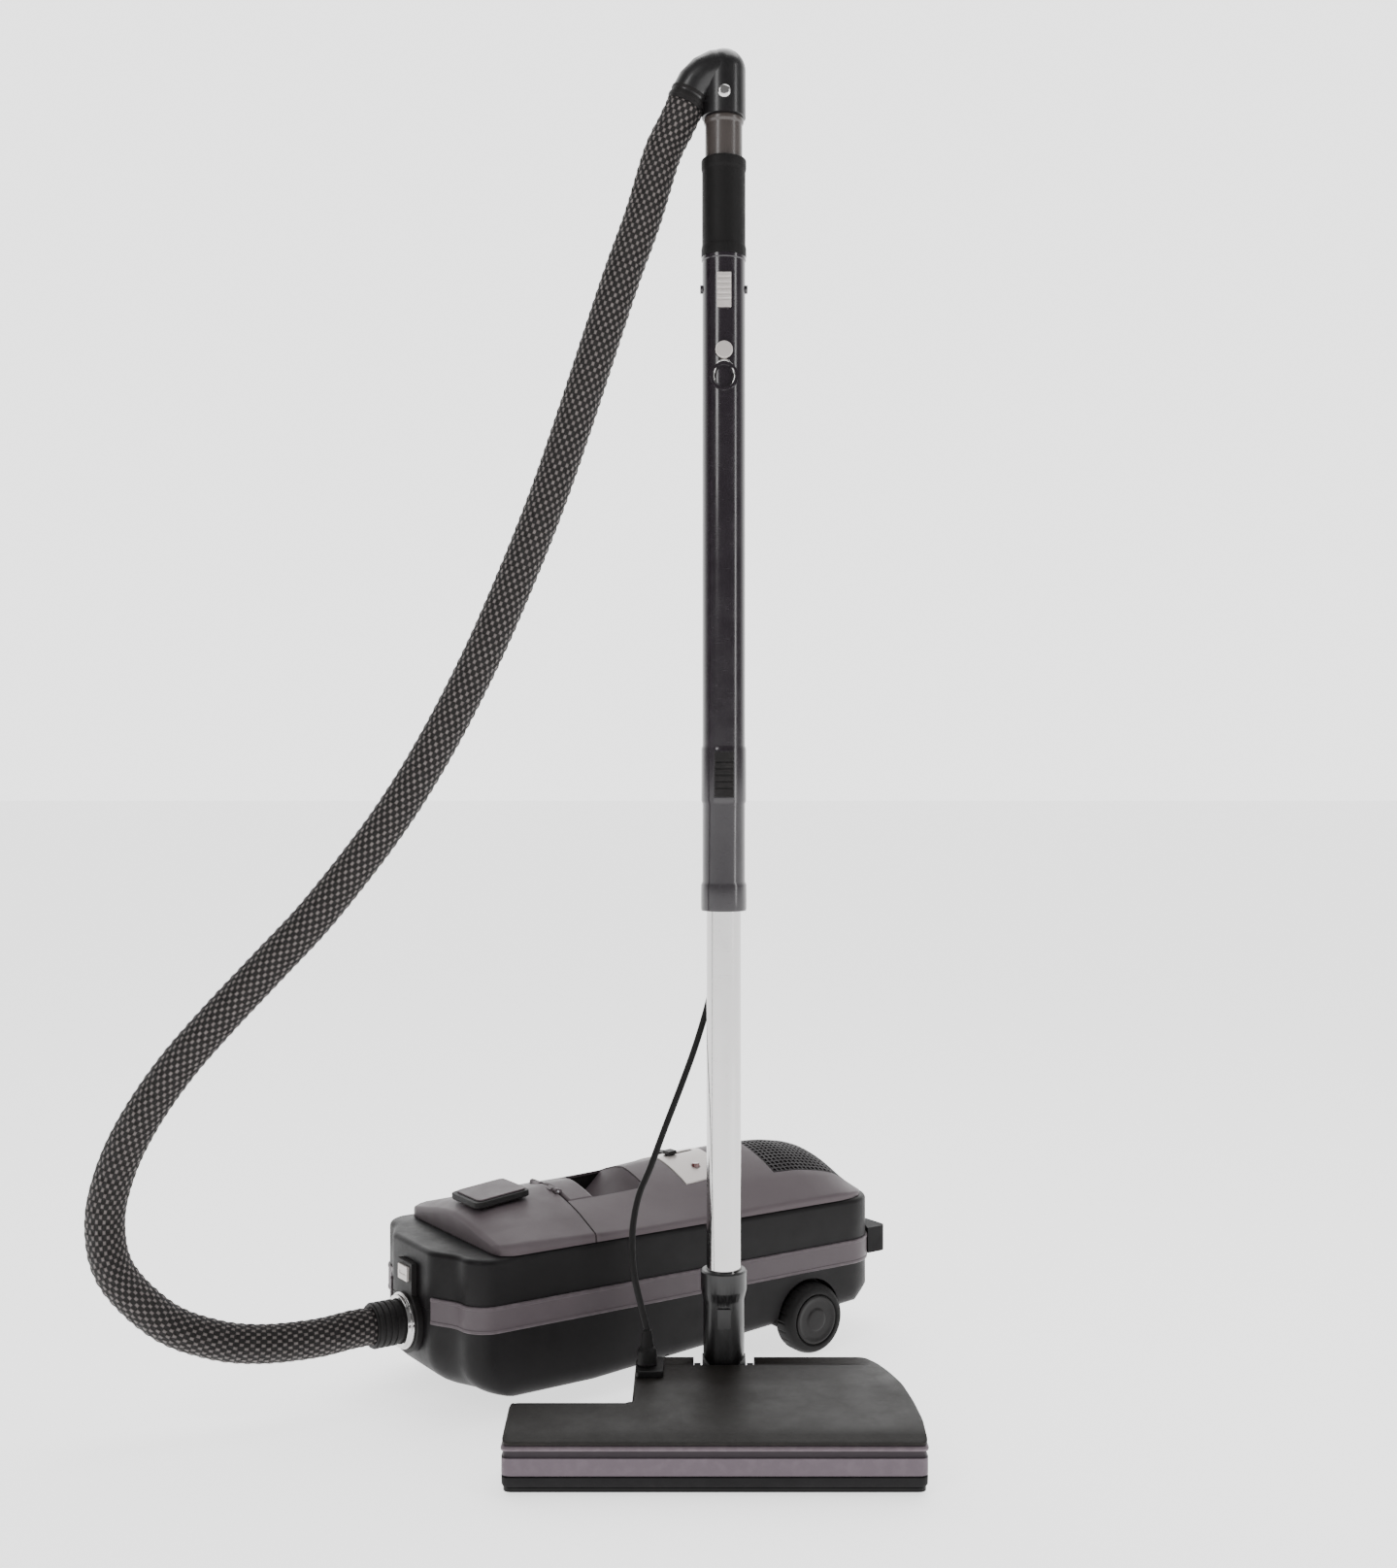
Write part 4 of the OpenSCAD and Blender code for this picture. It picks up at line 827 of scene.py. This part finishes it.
def make_latch():
    """The hood's latch: a pale top plate over a wider black base, whose rim round the plate is painted shadow,
    with a finger edge.
    """
    lean = CAN @ Matrix.Translation((LATCH_X, 0, cover_height(LATCH_X, 0) - 1.5))
    lean = lean @ Matrix.Rotation(-math.radians(LATCH_LEAN), 4, "Y")
    # The black base is wider than the plate, so its rim shows as a painted shadow under the raised plate.
    shadow_skirt = slab(60, 60, 8, 1.2, 7.2)
    ease(solid("latch_shadow_skirt", shadow_skirt, lean, "soft_black", "latch", "hood_latch"), 1.0, 40)
    plate = slab(53, 52, 6, 7.0, 8.8, 1.4)
    ease(solid("latch_plate", plate, lean, "cover_mauve", "latch"), 0.7, 40)
    tongue = block((-10, -8, -9), (10, 8, 2))
    ease(solid("latch_tongue", tongue, lean, "soft_black", "latch"), 1.0, 40)


def slab(long, wide, corner, z0, z1, shift=0.0):
    """A flat block with rounded corners in plan."""
    outline = soften([(-long / 2, -wide / 2), (long / 2, -wide / 2), (long / 2, wide / 2),
                      (-long / 2, wide / 2)], corner, 6, closed=True)
    return loft([[(x + shift, y, z) for x, y in outline] for z in (z0, z1)])


def make_bag():
    """The dust bag: a slack paper pillow, puckered along its sides and creased across."""
    lo, hi = span("dust_bag", CAN)
    mid = (lo + hi) / 2
    half = (hi - lo) / 2
    rings = []
    rows = 64
    for i in range(rows + 1):
        t = -1 + 2 * i / rows
        swell = max(0.02, (1 - abs(t) ** 3.2)) ** 0.42
        ring = []
        for j in range(96):
            angle = 2 * math.pi * j / 96
            c, s = math.cos(angle), math.sin(angle)
            y = math.copysign(abs(c) ** 0.55, c) * (0.30 + 0.70 * swell)
            z = math.copysign(abs(s) ** 0.75, s) * swell
            crease = 0.020 * math.sin(9 * t + 3 * c) * math.sin(5 * angle + 4 * t)
            pucker = 0.035 * abs(c) ** 6 * math.cos(34 * t)
            grow = 0.95 + crease - pucker
            ring.append((mid.x + half.x * 0.985 * t, mid.y + half.y * y * grow, mid.z + half.z * z * grow))
        rings.append(ring)
    bag = solid("paper_bag", loft(rings), CAN, "bag_paper", "root", "dust_bag", sharp=70)


def span(node, place):
    """A node's lowest and highest corner in a frame, in that frame's millimetres."""
    back = place.inverted()
    points = [back @ v.co for v in NODES[node].data.vertices]
    return (Vector([min(p[k] for p in points) for k in range(3)]),
            Vector([max(p[k] for p in points) for k in range(3)]))


def make_tyre(name, hub_name, side, body, tyre_node, hub_node):
    """A treaded tyre round a dished disc."""
    lo, hi = span(tyre_node, CAN)
    radius = (hi.z - lo.z) / 2
    turn = Matrix.Translation(((lo.x + hi.x) / 2, 0, (lo.z + hi.z) / 2))
    turn = turn @ Matrix.Rotation(-math.pi / 2, 4, "X")
    inner, outer = (lo.y, hi.y) if side > 0 else (-hi.y, -lo.y)
    flip = Matrix.Identity(4) if side > 0 else Matrix.Scale(-1, 4, (0, 1, 0))
    path = [(9, inner), (radius - 8, inner), (radius, inner + 4), (radius, outer - 8),
            (radius - 3, outer - 1.2), (radius - 9, outer), (radius - 10.6, outer - 2.2), (9, outer - 2.2)]
    profile = soften(path, 3.4, 4)
    sides = 144
    rings = []
    for r, h in profile:
        ring = []
        for j in range(sides):
            angle = 2 * math.pi * j / sides
            groove = 0.7 if r > radius - 0.6 and j % 6 == 0 else 0.0
            ring.append(((r - groove) * math.cos(angle), (r - groove) * math.sin(angle), h))
        rings.append(ring)
    verts, faces = loft(rings)
    tyre = ([tuple(flip @ (turn @ Vector(v))) for v in verts], faces)
    solid(name, tyre, CAN, "wheel_rubber", body, tyre_node, sharp=25)
    base = outer - 2.4
    disc = [(4, base), (radius - 11, base), (radius - 11, base + 1.8), (radius - 13, base + 2.6),
            (radius - 17, base + 1.4), (12, base + 1.2), (10, base + 2.4), (4, base + 2.6)]
    verts, faces = lathe(soften(disc, 1.2, 3), 96)
    hub = ([tuple(flip @ (turn @ Vector(v))) for v in verts], faces)
    solid(hub_name, hub, CAN, "hubcap_black", body, hub_node, sharp=35)


# ---- Wand ------------------------------------------------------------------------------------

def make_elbow():
    """The swivel elbow: a dark dome over the brown handle tube, with a shoulder down to the hose."""
    dome = [(17.5, 1210), (20.4, 1211), (20.5, 1215), (20.5, 1254.4)]
    dome += [(20.5 * math.cos(a), 1254.4 + 20.5 * math.sin(a)) for a in
             (math.pi / 2 * k / 9 for k in range(1, 9))] + [(0.6, 1274.9)]
    solid("elbow_dome", lathe(dome), WAND, "gloss_black", "wand", "swivel_elbow")
    stem = [(14, 1168), (17.3, 1168), (17.3, 1204), (18.6, 1206), (18.6, 1209), (17.2, 1211), (14, 1211)]
    stem = soften(stem, 0.8, 3)
    solid("handle_stem", lathe(stem), WAND, "elbow_brown", "wand")
    along = [(-36, 1222, 17.4), (-31.5, 1231.4, 18.4), (-26, 1241, 19.2), (-17.5, 1249, 19.8),
             (-8, 1253.4, 20.2), (0, 1254, 20.3)]
    rings = []
    for i, (x, z, radius) in enumerate(along):
        x0, z0, _ = along[max(i - 1, 0)]
        x1, z1, _ = along[min(i + 1, len(along) - 1)]
        heading = Vector((x1 - x0, 0, z1 - z0)).normalized()
        side = Vector((heading.z, 0, -heading.x))
        middle = Vector((x, 0, z))
        rings.append([tuple(middle + (side * math.cos(a) + Vector((0, 1, 0)) * math.sin(a)) * radius)
                      for a in (2 * math.pi * k / 48 for k in range(48))])
    solid("elbow_shoulder", loft(rings), WAND, "gloss_black", "wand", sharp=60)
    turn = Matrix.Translation((0, -19.6, 1229)) @ Matrix.Rotation(math.pi / 2, 4, "X")
    rivet = soften([(6.2, 0), (6.2, 1.4), (4.4, 3.0), (0.4, 3.4)], 1.2, 4)
    solid("elbow_rivet", lathe(rivet, 40, turn), WAND, "chrome", "wand")


def make_bezel():
    """The bright ring on the sheath, below its release button."""
    rings = []
    for k in range(49):
        angle = 2 * math.pi * k / 48
        reach = 11.6 + 3.0 * max(0, math.sin(angle)) ** 3
        centre = Vector((reach * 0.86 * math.cos(angle), 0, reach * math.sin(angle)))
        out = centre.normalized()
        bend = -20.3 + 0.5 * (centre.x / 10) ** 2 * 2.6
        rings.append([tuple(Vector((0, bend, 967)) + centre + (out * math.cos(b) + Vector((0, -1, 0))
                            * math.sin(b)) * 1.5) for b in (2 * math.pi * m / 12 for m in range(12))])
    solid("bezel_ring", loft(rings, NO_CAPS), WAND, "chrome", "wand", sharp=60)


make_latch()
make_bag()
make_tyre("tyre_left", "hub_left", -1, "wheel_left", "rear_wheel_left", "hubcap_left")
make_tyre("tyre_right", "hub_right", 1, "wheel_right", "rear_wheel_right", "hubcap_right")
make_elbow()
make_bezel()


# ---- Nozzle ----------------------------------------------------------------------------------

# The floor head's outline in plan, seen from above, and the heights of its top from front to rear
HEAD_LEFT = -188
HEAD_FRONT = -174
HEAD_REAR = 5
STEP_X = -82
STEP_Y = -107
HEAD_RIGHT = [(168, -135), (165, -105), (159, -70), (151, -40), (142, -15), (132, 5)]
LIP_TOP = 17.4
GROOVE = (32.6, 38.3)
HEAD_TOPS = [(-174, 44), (-166, 49), (-150, 51.5), (-70, 60), (-20, 60), (5, 58.6)]


def head_outline(inset):
    """The head's plan, pulled in by an inset, with rounded corners."""
    path = [(HEAD_LEFT, HEAD_FRONT), (168, HEAD_FRONT)] + HEAD_RIGHT
    path += [(STEP_X, HEAD_REAR), (STEP_X, STEP_Y), (HEAD_LEFT, STEP_Y)]
    return soften(shrink(path, inset), 7, 5, closed=True)


def shrink(path, inset):
    """Moves an anticlockwise outline's sides inward, corner by corner."""
    out = []
    count = len(path)
    for i in range(count):
        here = Vector(path[i])
        back = (here - Vector(path[i - 1])).normalized()
        ahead = (Vector(path[(i + 1) % count]) - here).normalized()
        left = Vector((-back.y, back.x))
        turn = (left + Vector((-ahead.y, ahead.x))).normalized()
        out.append(tuple(here + turn * inset / max(0.35, turn.dot(left))))
    return out


def make_guard():
    """The soft guard round the head: a black lip, a pale band, a groove and a bead, the groove painted darker as
    shade and the bead painted lighter as a highlight.
    """
    levels = [(8.0, 3.0), (8.2, 1.2), (10, 0.2), (16.4, 0), (17.2, 1.3), (18.0, 0.2), (20, 0), (32.4, 0),
              (32.9, 0.9), (33.6, 1.2), (37.6, 1.2), (38.2, 0.9), (38.7, -0.4), (40.2, -0.6), (41.6, 0.2),
              (42.6, 1.8)]
    rings = [[(x, y, z) for x, y in head_outline(g)] for z, g in levels]
    rings += [[(x, y, 42.6) for x, y in head_outline(4.6)], [(x, y, 8.0) for x, y in head_outline(4.6)]]
    rings.append(rings[0])
    shape = loft(rings, NO_CAPS)
    guard = solid("head_guard", shape, WAND, "nozzle_bumper", "root", "nozzle_bumper", sharp=40)
    mesh = guard.data
    # Faces of the groove take a darker copy of the guard's mauve as painted shade, and faces above it take a
    # lighter copy as a painted highlight on the rounded top; faces below the lip line are black.
    lip, bead, groove = 1, 2, 3
    for name in ("bumper_rubber", "guard_bead_highlight", "guard_groove_shade"):
        mesh.materials.append(PAINTS[name])
    for face in mesh.polygons:
        height = (WAND.inverted() @ face.center).z
        if height < LIP_TOP:
            face.material_index = lip
        elif GROOVE[0] < height < GROOVE[1]:
            face.material_index = groove
        elif height > GROOVE[1]:
            face.material_index = bead
    carve(guard, *block((-30, -32, -1), (30, 20, 60)), WAND)
    return guard


def make_head_top():
    """The head's dark cover, falling towards the front, with its rear notch for the swivel neck."""
    outline = head_outline(0.6)
    rings = []
    for drop, inset in ((1, 0), (0.16, 0), (0.07, 0.5), (0.02, 1.6), (0, 3.2)):
        ring = []
        for x, y in head_outline(0.6 + inset):
            top = eased(HEAD_TOPS, y, 8)
            ring.append((x, y, top - (top - 43.2) * drop))
        rings.append(ring)
    verts, faces = loft(rings, NO_CAPS)
    count = len(outline)
    form = bpy.data.meshes.new("head_top")
    form.from_pydata([WAND @ Vector(v) for v in verts], [], faces)
    cap = bmesh.new()
    cap.from_mesh(form)
    cap.verts.ensure_lookup_table()
    cap.faces.new([cap.verts[i] for i in range(len(verts) - count, len(verts))])
    cap.faces.new([cap.verts[i] for i in range(count)])
    for row in range(-168, 4, 6):
        bmesh.ops.bisect_plane(cap, geom=cap.faces[:] + cap.edges[:] + cap.verts[:], dist=1e-7,
                               plane_co=WAND @ Vector((0, row, 0)), plane_no=(0, 1, 0))
    back = WAND.inverted()
    for v in cap.verts:
        here = back @ v.co
        if 48 < here.z < 61 and not v.is_boundary:
            rise = eased(HEAD_TOPS, here.y, 8)
            if all(f.normal.z > 0.5 for f in v.link_faces):
                v.co.z = rise * MM
    cap.to_mesh(form)
    cap.free()
    face_out(form, MERGE)
    form.shade_smooth()
    form.set_sharp_from_angle(angle=math.radians(28))
    ob = piece("head_top", form, "nozzle_top", "root", "nozzle_cover")
    carve(ob, *block((-28, -23, 30), (28, 20, 80)), WAND)
    socket = slab_at((-79.5, -58), (-55, -16), 4, 55, 65.8)
    ease(solid("lead_socket", socket, WAND, "nozzle_black", "root"), 1.6, 40)


def slab_at(lo, hi, corner, z0, z1):
    """A flat block between two plan corners, rounded in plan."""
    corners = [(lo[0], lo[1]), (hi[0], lo[1]), (hi[0], hi[1]), (lo[0], hi[1])]
    outline = soften(corners, corner, 6, closed=True)
    return loft([[(x, y, z) for x, y in outline] for z in (z0, z1)])


def make_bristles():
    """Spiral rows of bristle tufts on the brush roll, each a splayed bundle."""
    lo, hi = span("brush_roll", WAND)
    axis_y = (lo.y + hi.y) / 2
    axis_z = (lo.z + hi.z) / 2
    reach = (hi.z - lo.z) / 2 - 0.6
    verts = []
    faces = []
    for row in range(2):
        for i in range(92):
            x = lo.x + 24 + i * (hi.x - lo.x - 78) / 91
            angle = math.pi * row + math.radians(240) * i / 91
            for k in range(5):
                lean = math.radians(7) * (k - 2)
                splay = angle + lean
                foot = Vector((x + 0.5 * (k - 2), 10 * math.cos(angle), 10 * math.sin(angle)))
                tip = Vector((x + 0.8 * (k - 2), reach * math.cos(splay), reach * math.sin(splay)))
                start = len(verts)
                for end, thick in ((foot, 0.42), (tip, 0.22)):
                    for dx, dz in ((1, 0), (-0.5, 0.87), (-0.5, -0.87)):
                        verts.append((end.x + dx * thick, axis_y + end.y + dz * thick, axis_z + end.z))
                faces += [(start, start + 1, start + 4, start + 3),
                          (start + 1, start + 2, start + 5, start + 4),
                          (start + 2, start, start + 3, start + 5), (start + 3, start + 4, start + 5)]
    mesh = bpy.data.meshes.new("bristles")
    mesh.from_pydata([WAND @ Vector(v) for v in verts], [], faces)
    piece("bristles", mesh, "brush", "brush")


make_guard()
make_head_top()
make_bristles()


# ---- Canister body ---------------------------------------------------------------------------

BODY_HALF = 104
NOSE = -258.5
FLAT = -242.5
TAIL = 242.5
FRONT_R = 26
REAR_R = 40
BELLY_X = -110
BELLY_Z = 17
TAIL_LOW = (228.5, 41)
SPLIT = 95.5
DECK = 151
WELL_R = 40
WHEEL_Z = 36
CASTER_X = -165
CASTER_R = 36
PORT_HOLE = 24

# The nose's lower curve: where it starts, its length and drop, and how square it is
NOSE_BACK = -190
NOSE_LONG = 68.5
NOSE_TOP = 62
NOSE_DROP = 45
NOSE_POWER = 2.5


def body_plan(inset=0.0):
    """The canister in plan, anticlockwise from the middle of its nose."""
    half = [(NOSE, 0), (NOSE, 18), (NOSE, 36)]
    half += [(NOSE + (FLAT - NOSE) * (1 - math.cos(math.pi * k / 10)) / 2, 36 + 42 * k / 10)
             for k in range(1, 11)]
    half += [(FLAT + FRONT_R * (1 - math.cos(math.pi / 2 * k / 8)),
              78 + FRONT_R * math.sin(math.pi / 2 * k / 8)) for k in range(1, 9)]
    first = FLAT + FRONT_R
    last = TAIL - REAR_R
    half += [(first + (last - first) * k / 36, BODY_HALF) for k in range(1, 37)]
    half += [(last + REAR_R * math.sin(math.pi / 2 * k / 10), 64 + REAR_R * math.cos(math.pi / 2 * k / 10))
             for k in range(1, 11)]
    half += [(TAIL, 32), (TAIL, 0)]
    near = [(x, -y) for x, y in half]
    far = list(reversed(half[1:-1]))
    return shrink(near + far, inset) if inset else near + far


def nose_curve(t):
    """Falls from 1 to 0 as t runs from 0 to 1."""
    return max(0.0, 1 - t ** NOSE_POWER) ** (1 / NOSE_POWER)


def nose_at(z):
    return NOSE_BACK - NOSE_LONG * nose_curve((NOSE_TOP - z) / NOSE_DROP) if z < NOSE_TOP else NOSE


def tail_at(z):
    if z < TAIL_LOW[1]:
        return BELLY_X + (TAIL_LOW[0] - BELLY_X) * (z - BELLY_Z) / (TAIL_LOW[1] - BELLY_Z)
    return min(TAIL, TAIL_LOW[0] + z - TAIL_LOW[1])


def belly_at(x):
    if x < NOSE_BACK:
        return NOSE_TOP - NOSE_DROP * nose_curve((NOSE_BACK - x) / NOSE_LONG)
    if x < BELLY_X:
        return BELLY_Z
    return BELLY_Z + (TAIL_LOW[1] - BELLY_Z) * (min(x, TAIL_LOW[0]) - BELLY_X) / (TAIL_LOW[0] - BELLY_X)


def lower_ring(z, plan, bottom_r=14):
    """The plan squeezed to the body's length at a height, with its lower edges rounded."""
    ring = []
    for x, y in plan:
        reach, end = (nose_at(z), NOSE) if x < BELLY_X else (tail_at(z), TAIL)
        x = BELLY_X + (x - BELLY_X) * (reach - BELLY_X) / (end - BELLY_X)
        above = z - belly_at(x)
        if above < bottom_r:
            limit = BODY_HALF - bottom_r + math.sqrt(max(0.0, bottom_r ** 2 - (bottom_r - above) ** 2))
            y = math.copysign(min(abs(y), limit), y)
        ring.append((x, y, z))
    return ring


def under_belly():
    """A block below the sloping belly round the rear wheels."""
    verts, faces = block((90, -130, -20), (200, 130, 0))
    return [(x, y, z if z < 0 else belly_at(x) + 0.6) for x, y, z in verts], faces


def make_lower_shell():
    plan = body_plan()
    heights = (17, 17.5, 18.4, 19.8, 21.6, 24, 27, 30.5, 34.5, 38, 41, 45, 50, 56, 62, 70, 80, 88,
               SPLIT - 0.6)
    rings = [lower_ring(z, plan) for z in heights]
    rings.append([(x, y, SPLIT) for x, y in shrink(plan, 0.6)])
    ob = thicken("lower_shell", *loft(rings, (True, False)), (0, 0, 80))
    across = Matrix.Rotation(-math.pi / 2, 4, "X")
    for side in (-1, 1):
        turn = Matrix.Translation((WHEEL_X, 0, WHEEL_Z)) @ across
        ends = sorted((side * 90, side * 120))
        carve(ob, *lathe([(WELL_R, ends[0]), (WELL_R, ends[1])], 64, turn), CAN)
    carve(ob, *lathe([(CASTER_R, 0), (CASTER_R, 46)], 64, Matrix.Translation((CASTER_X, 0, 0))), CAN)
    along = Matrix.Translation((0, 0, PORT_Z)) @ Matrix.Rotation(math.pi / 2, 4, "Y")
    carve(ob, *lathe([(PORT_HOLE, -280), (PORT_HOLE, -240)], 48, along), CAN)
    adopt(ob, "housing_black", "root", "lower_housing")
    for side, name in ((-1, "wheel_well_near"), (1, "wheel_well_far")):
        cup = [(8, 82), (42, 82), (42, 102.6), (41, 103.4), (WELL_R, 102.6), (WELL_R, 84.4), (8, 84.4)]
        flip = Matrix.Scale(side, 4, (0, 0, 1))
        turn = Matrix.Translation((WHEEL_X, 0, WHEEL_Z)) @ across
        well = solid(name, lathe(cup, 64, turn @ flip), CAN, "housing_black", "root")
        carve(well, *under_belly(), CAN)
    cup = [(10, 46), (CASTER_R, 46), (CASTER_R, 18.2), (CASTER_R + 2, 18.2), (CASTER_R + 2, 48.4),
           (10, 48.4)]
    cup = lathe(cup, 64, Matrix.Translation((CASTER_X, 0, 0)))
    solid("caster_cup", cup, CAN, "housing_black", "root")


def make_upper_shell():
    plan = body_plan()
    levels = [(SPLIT, 0.6), (SPLIT + 0.7, 0), (120, 0), (DECK - 5, 0)]
    levels += [(DECK - 5 + 5 * math.sin(math.pi / 2 * k / 5), 5 - 5 * math.cos(math.pi / 2 * k / 5))
               for k in range(1, 6)]
    rings = [[(x, y, z) for x, y in (shrink(plan, g) if g else plan)] for z, g in levels]
    ob = thicken("upper_shell", *loft(rings, (False, True)), (0, 0, 100))
    for lo, hi in (((-202, -84), (-129, 84)), ((138, -56), (216, 56)), ((20, -45), (80, 45))):
        carve(ob, *block((lo[0], lo[1], 140), (hi[0], hi[1], 160)), CAN)
    adopt(ob, "housing_black", "root", "upper_housing")


def make_band():
    """The trim strip round the body, broken at the port, with rolled edges."""
    section = [(-0.4, 83), (1.4, 83), (2, 83.8), (2, 86), (1.5, 86.6), (1.5, 104.4), (2, 105), (2, 107.2),
               (1.4, 108), (-0.4, 108)]
    plans = [shrink(body_plan(), -proud) for proud, _ in section]
    kept = [i for i, (x, y) in enumerate(body_plan()) if not (x < -240 and abs(y) < 41)]
    start = next(k for k, i in enumerate(kept) if i and kept[k - 1] != i - 1) if kept[0] else 0
    order = kept[start:] + kept[:start]
    rings = [[(plans[m][i][0], plans[m][i][1], z) for m, (_, z) in enumerate(section)] for i in order]
    solid("side_band", loft(rings), CAN, "band_mauve", "root", "trim_band", sharp=28)


make_lower_shell()
make_upper_shell()
make_band()


# ---- CAD nodes that stay ---------------------------------------------------------------------

def finish_nodes():
    """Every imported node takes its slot's finish; the ones that stay in sight get eased edges too."""
    for row in frame["record"]["subparts"]:
        ob = NODES[row["node"]]
        ob.material_slots[0].material = PAINTS[row["material_slot"]]
        if ob.hide_render:
            continue
        weld = ob.modifiers.new("weld", "WELD")
        weld.merge_threshold = 0.01 * MM
        flat = ob.modifiers.new("flat", "DECIMATE")
        flat.decimate_type = "DISSOLVE"
        flat.angle_limit = math.radians(0.6)
        ease(ob, 0.7, 38, 2)


finish_nodes()
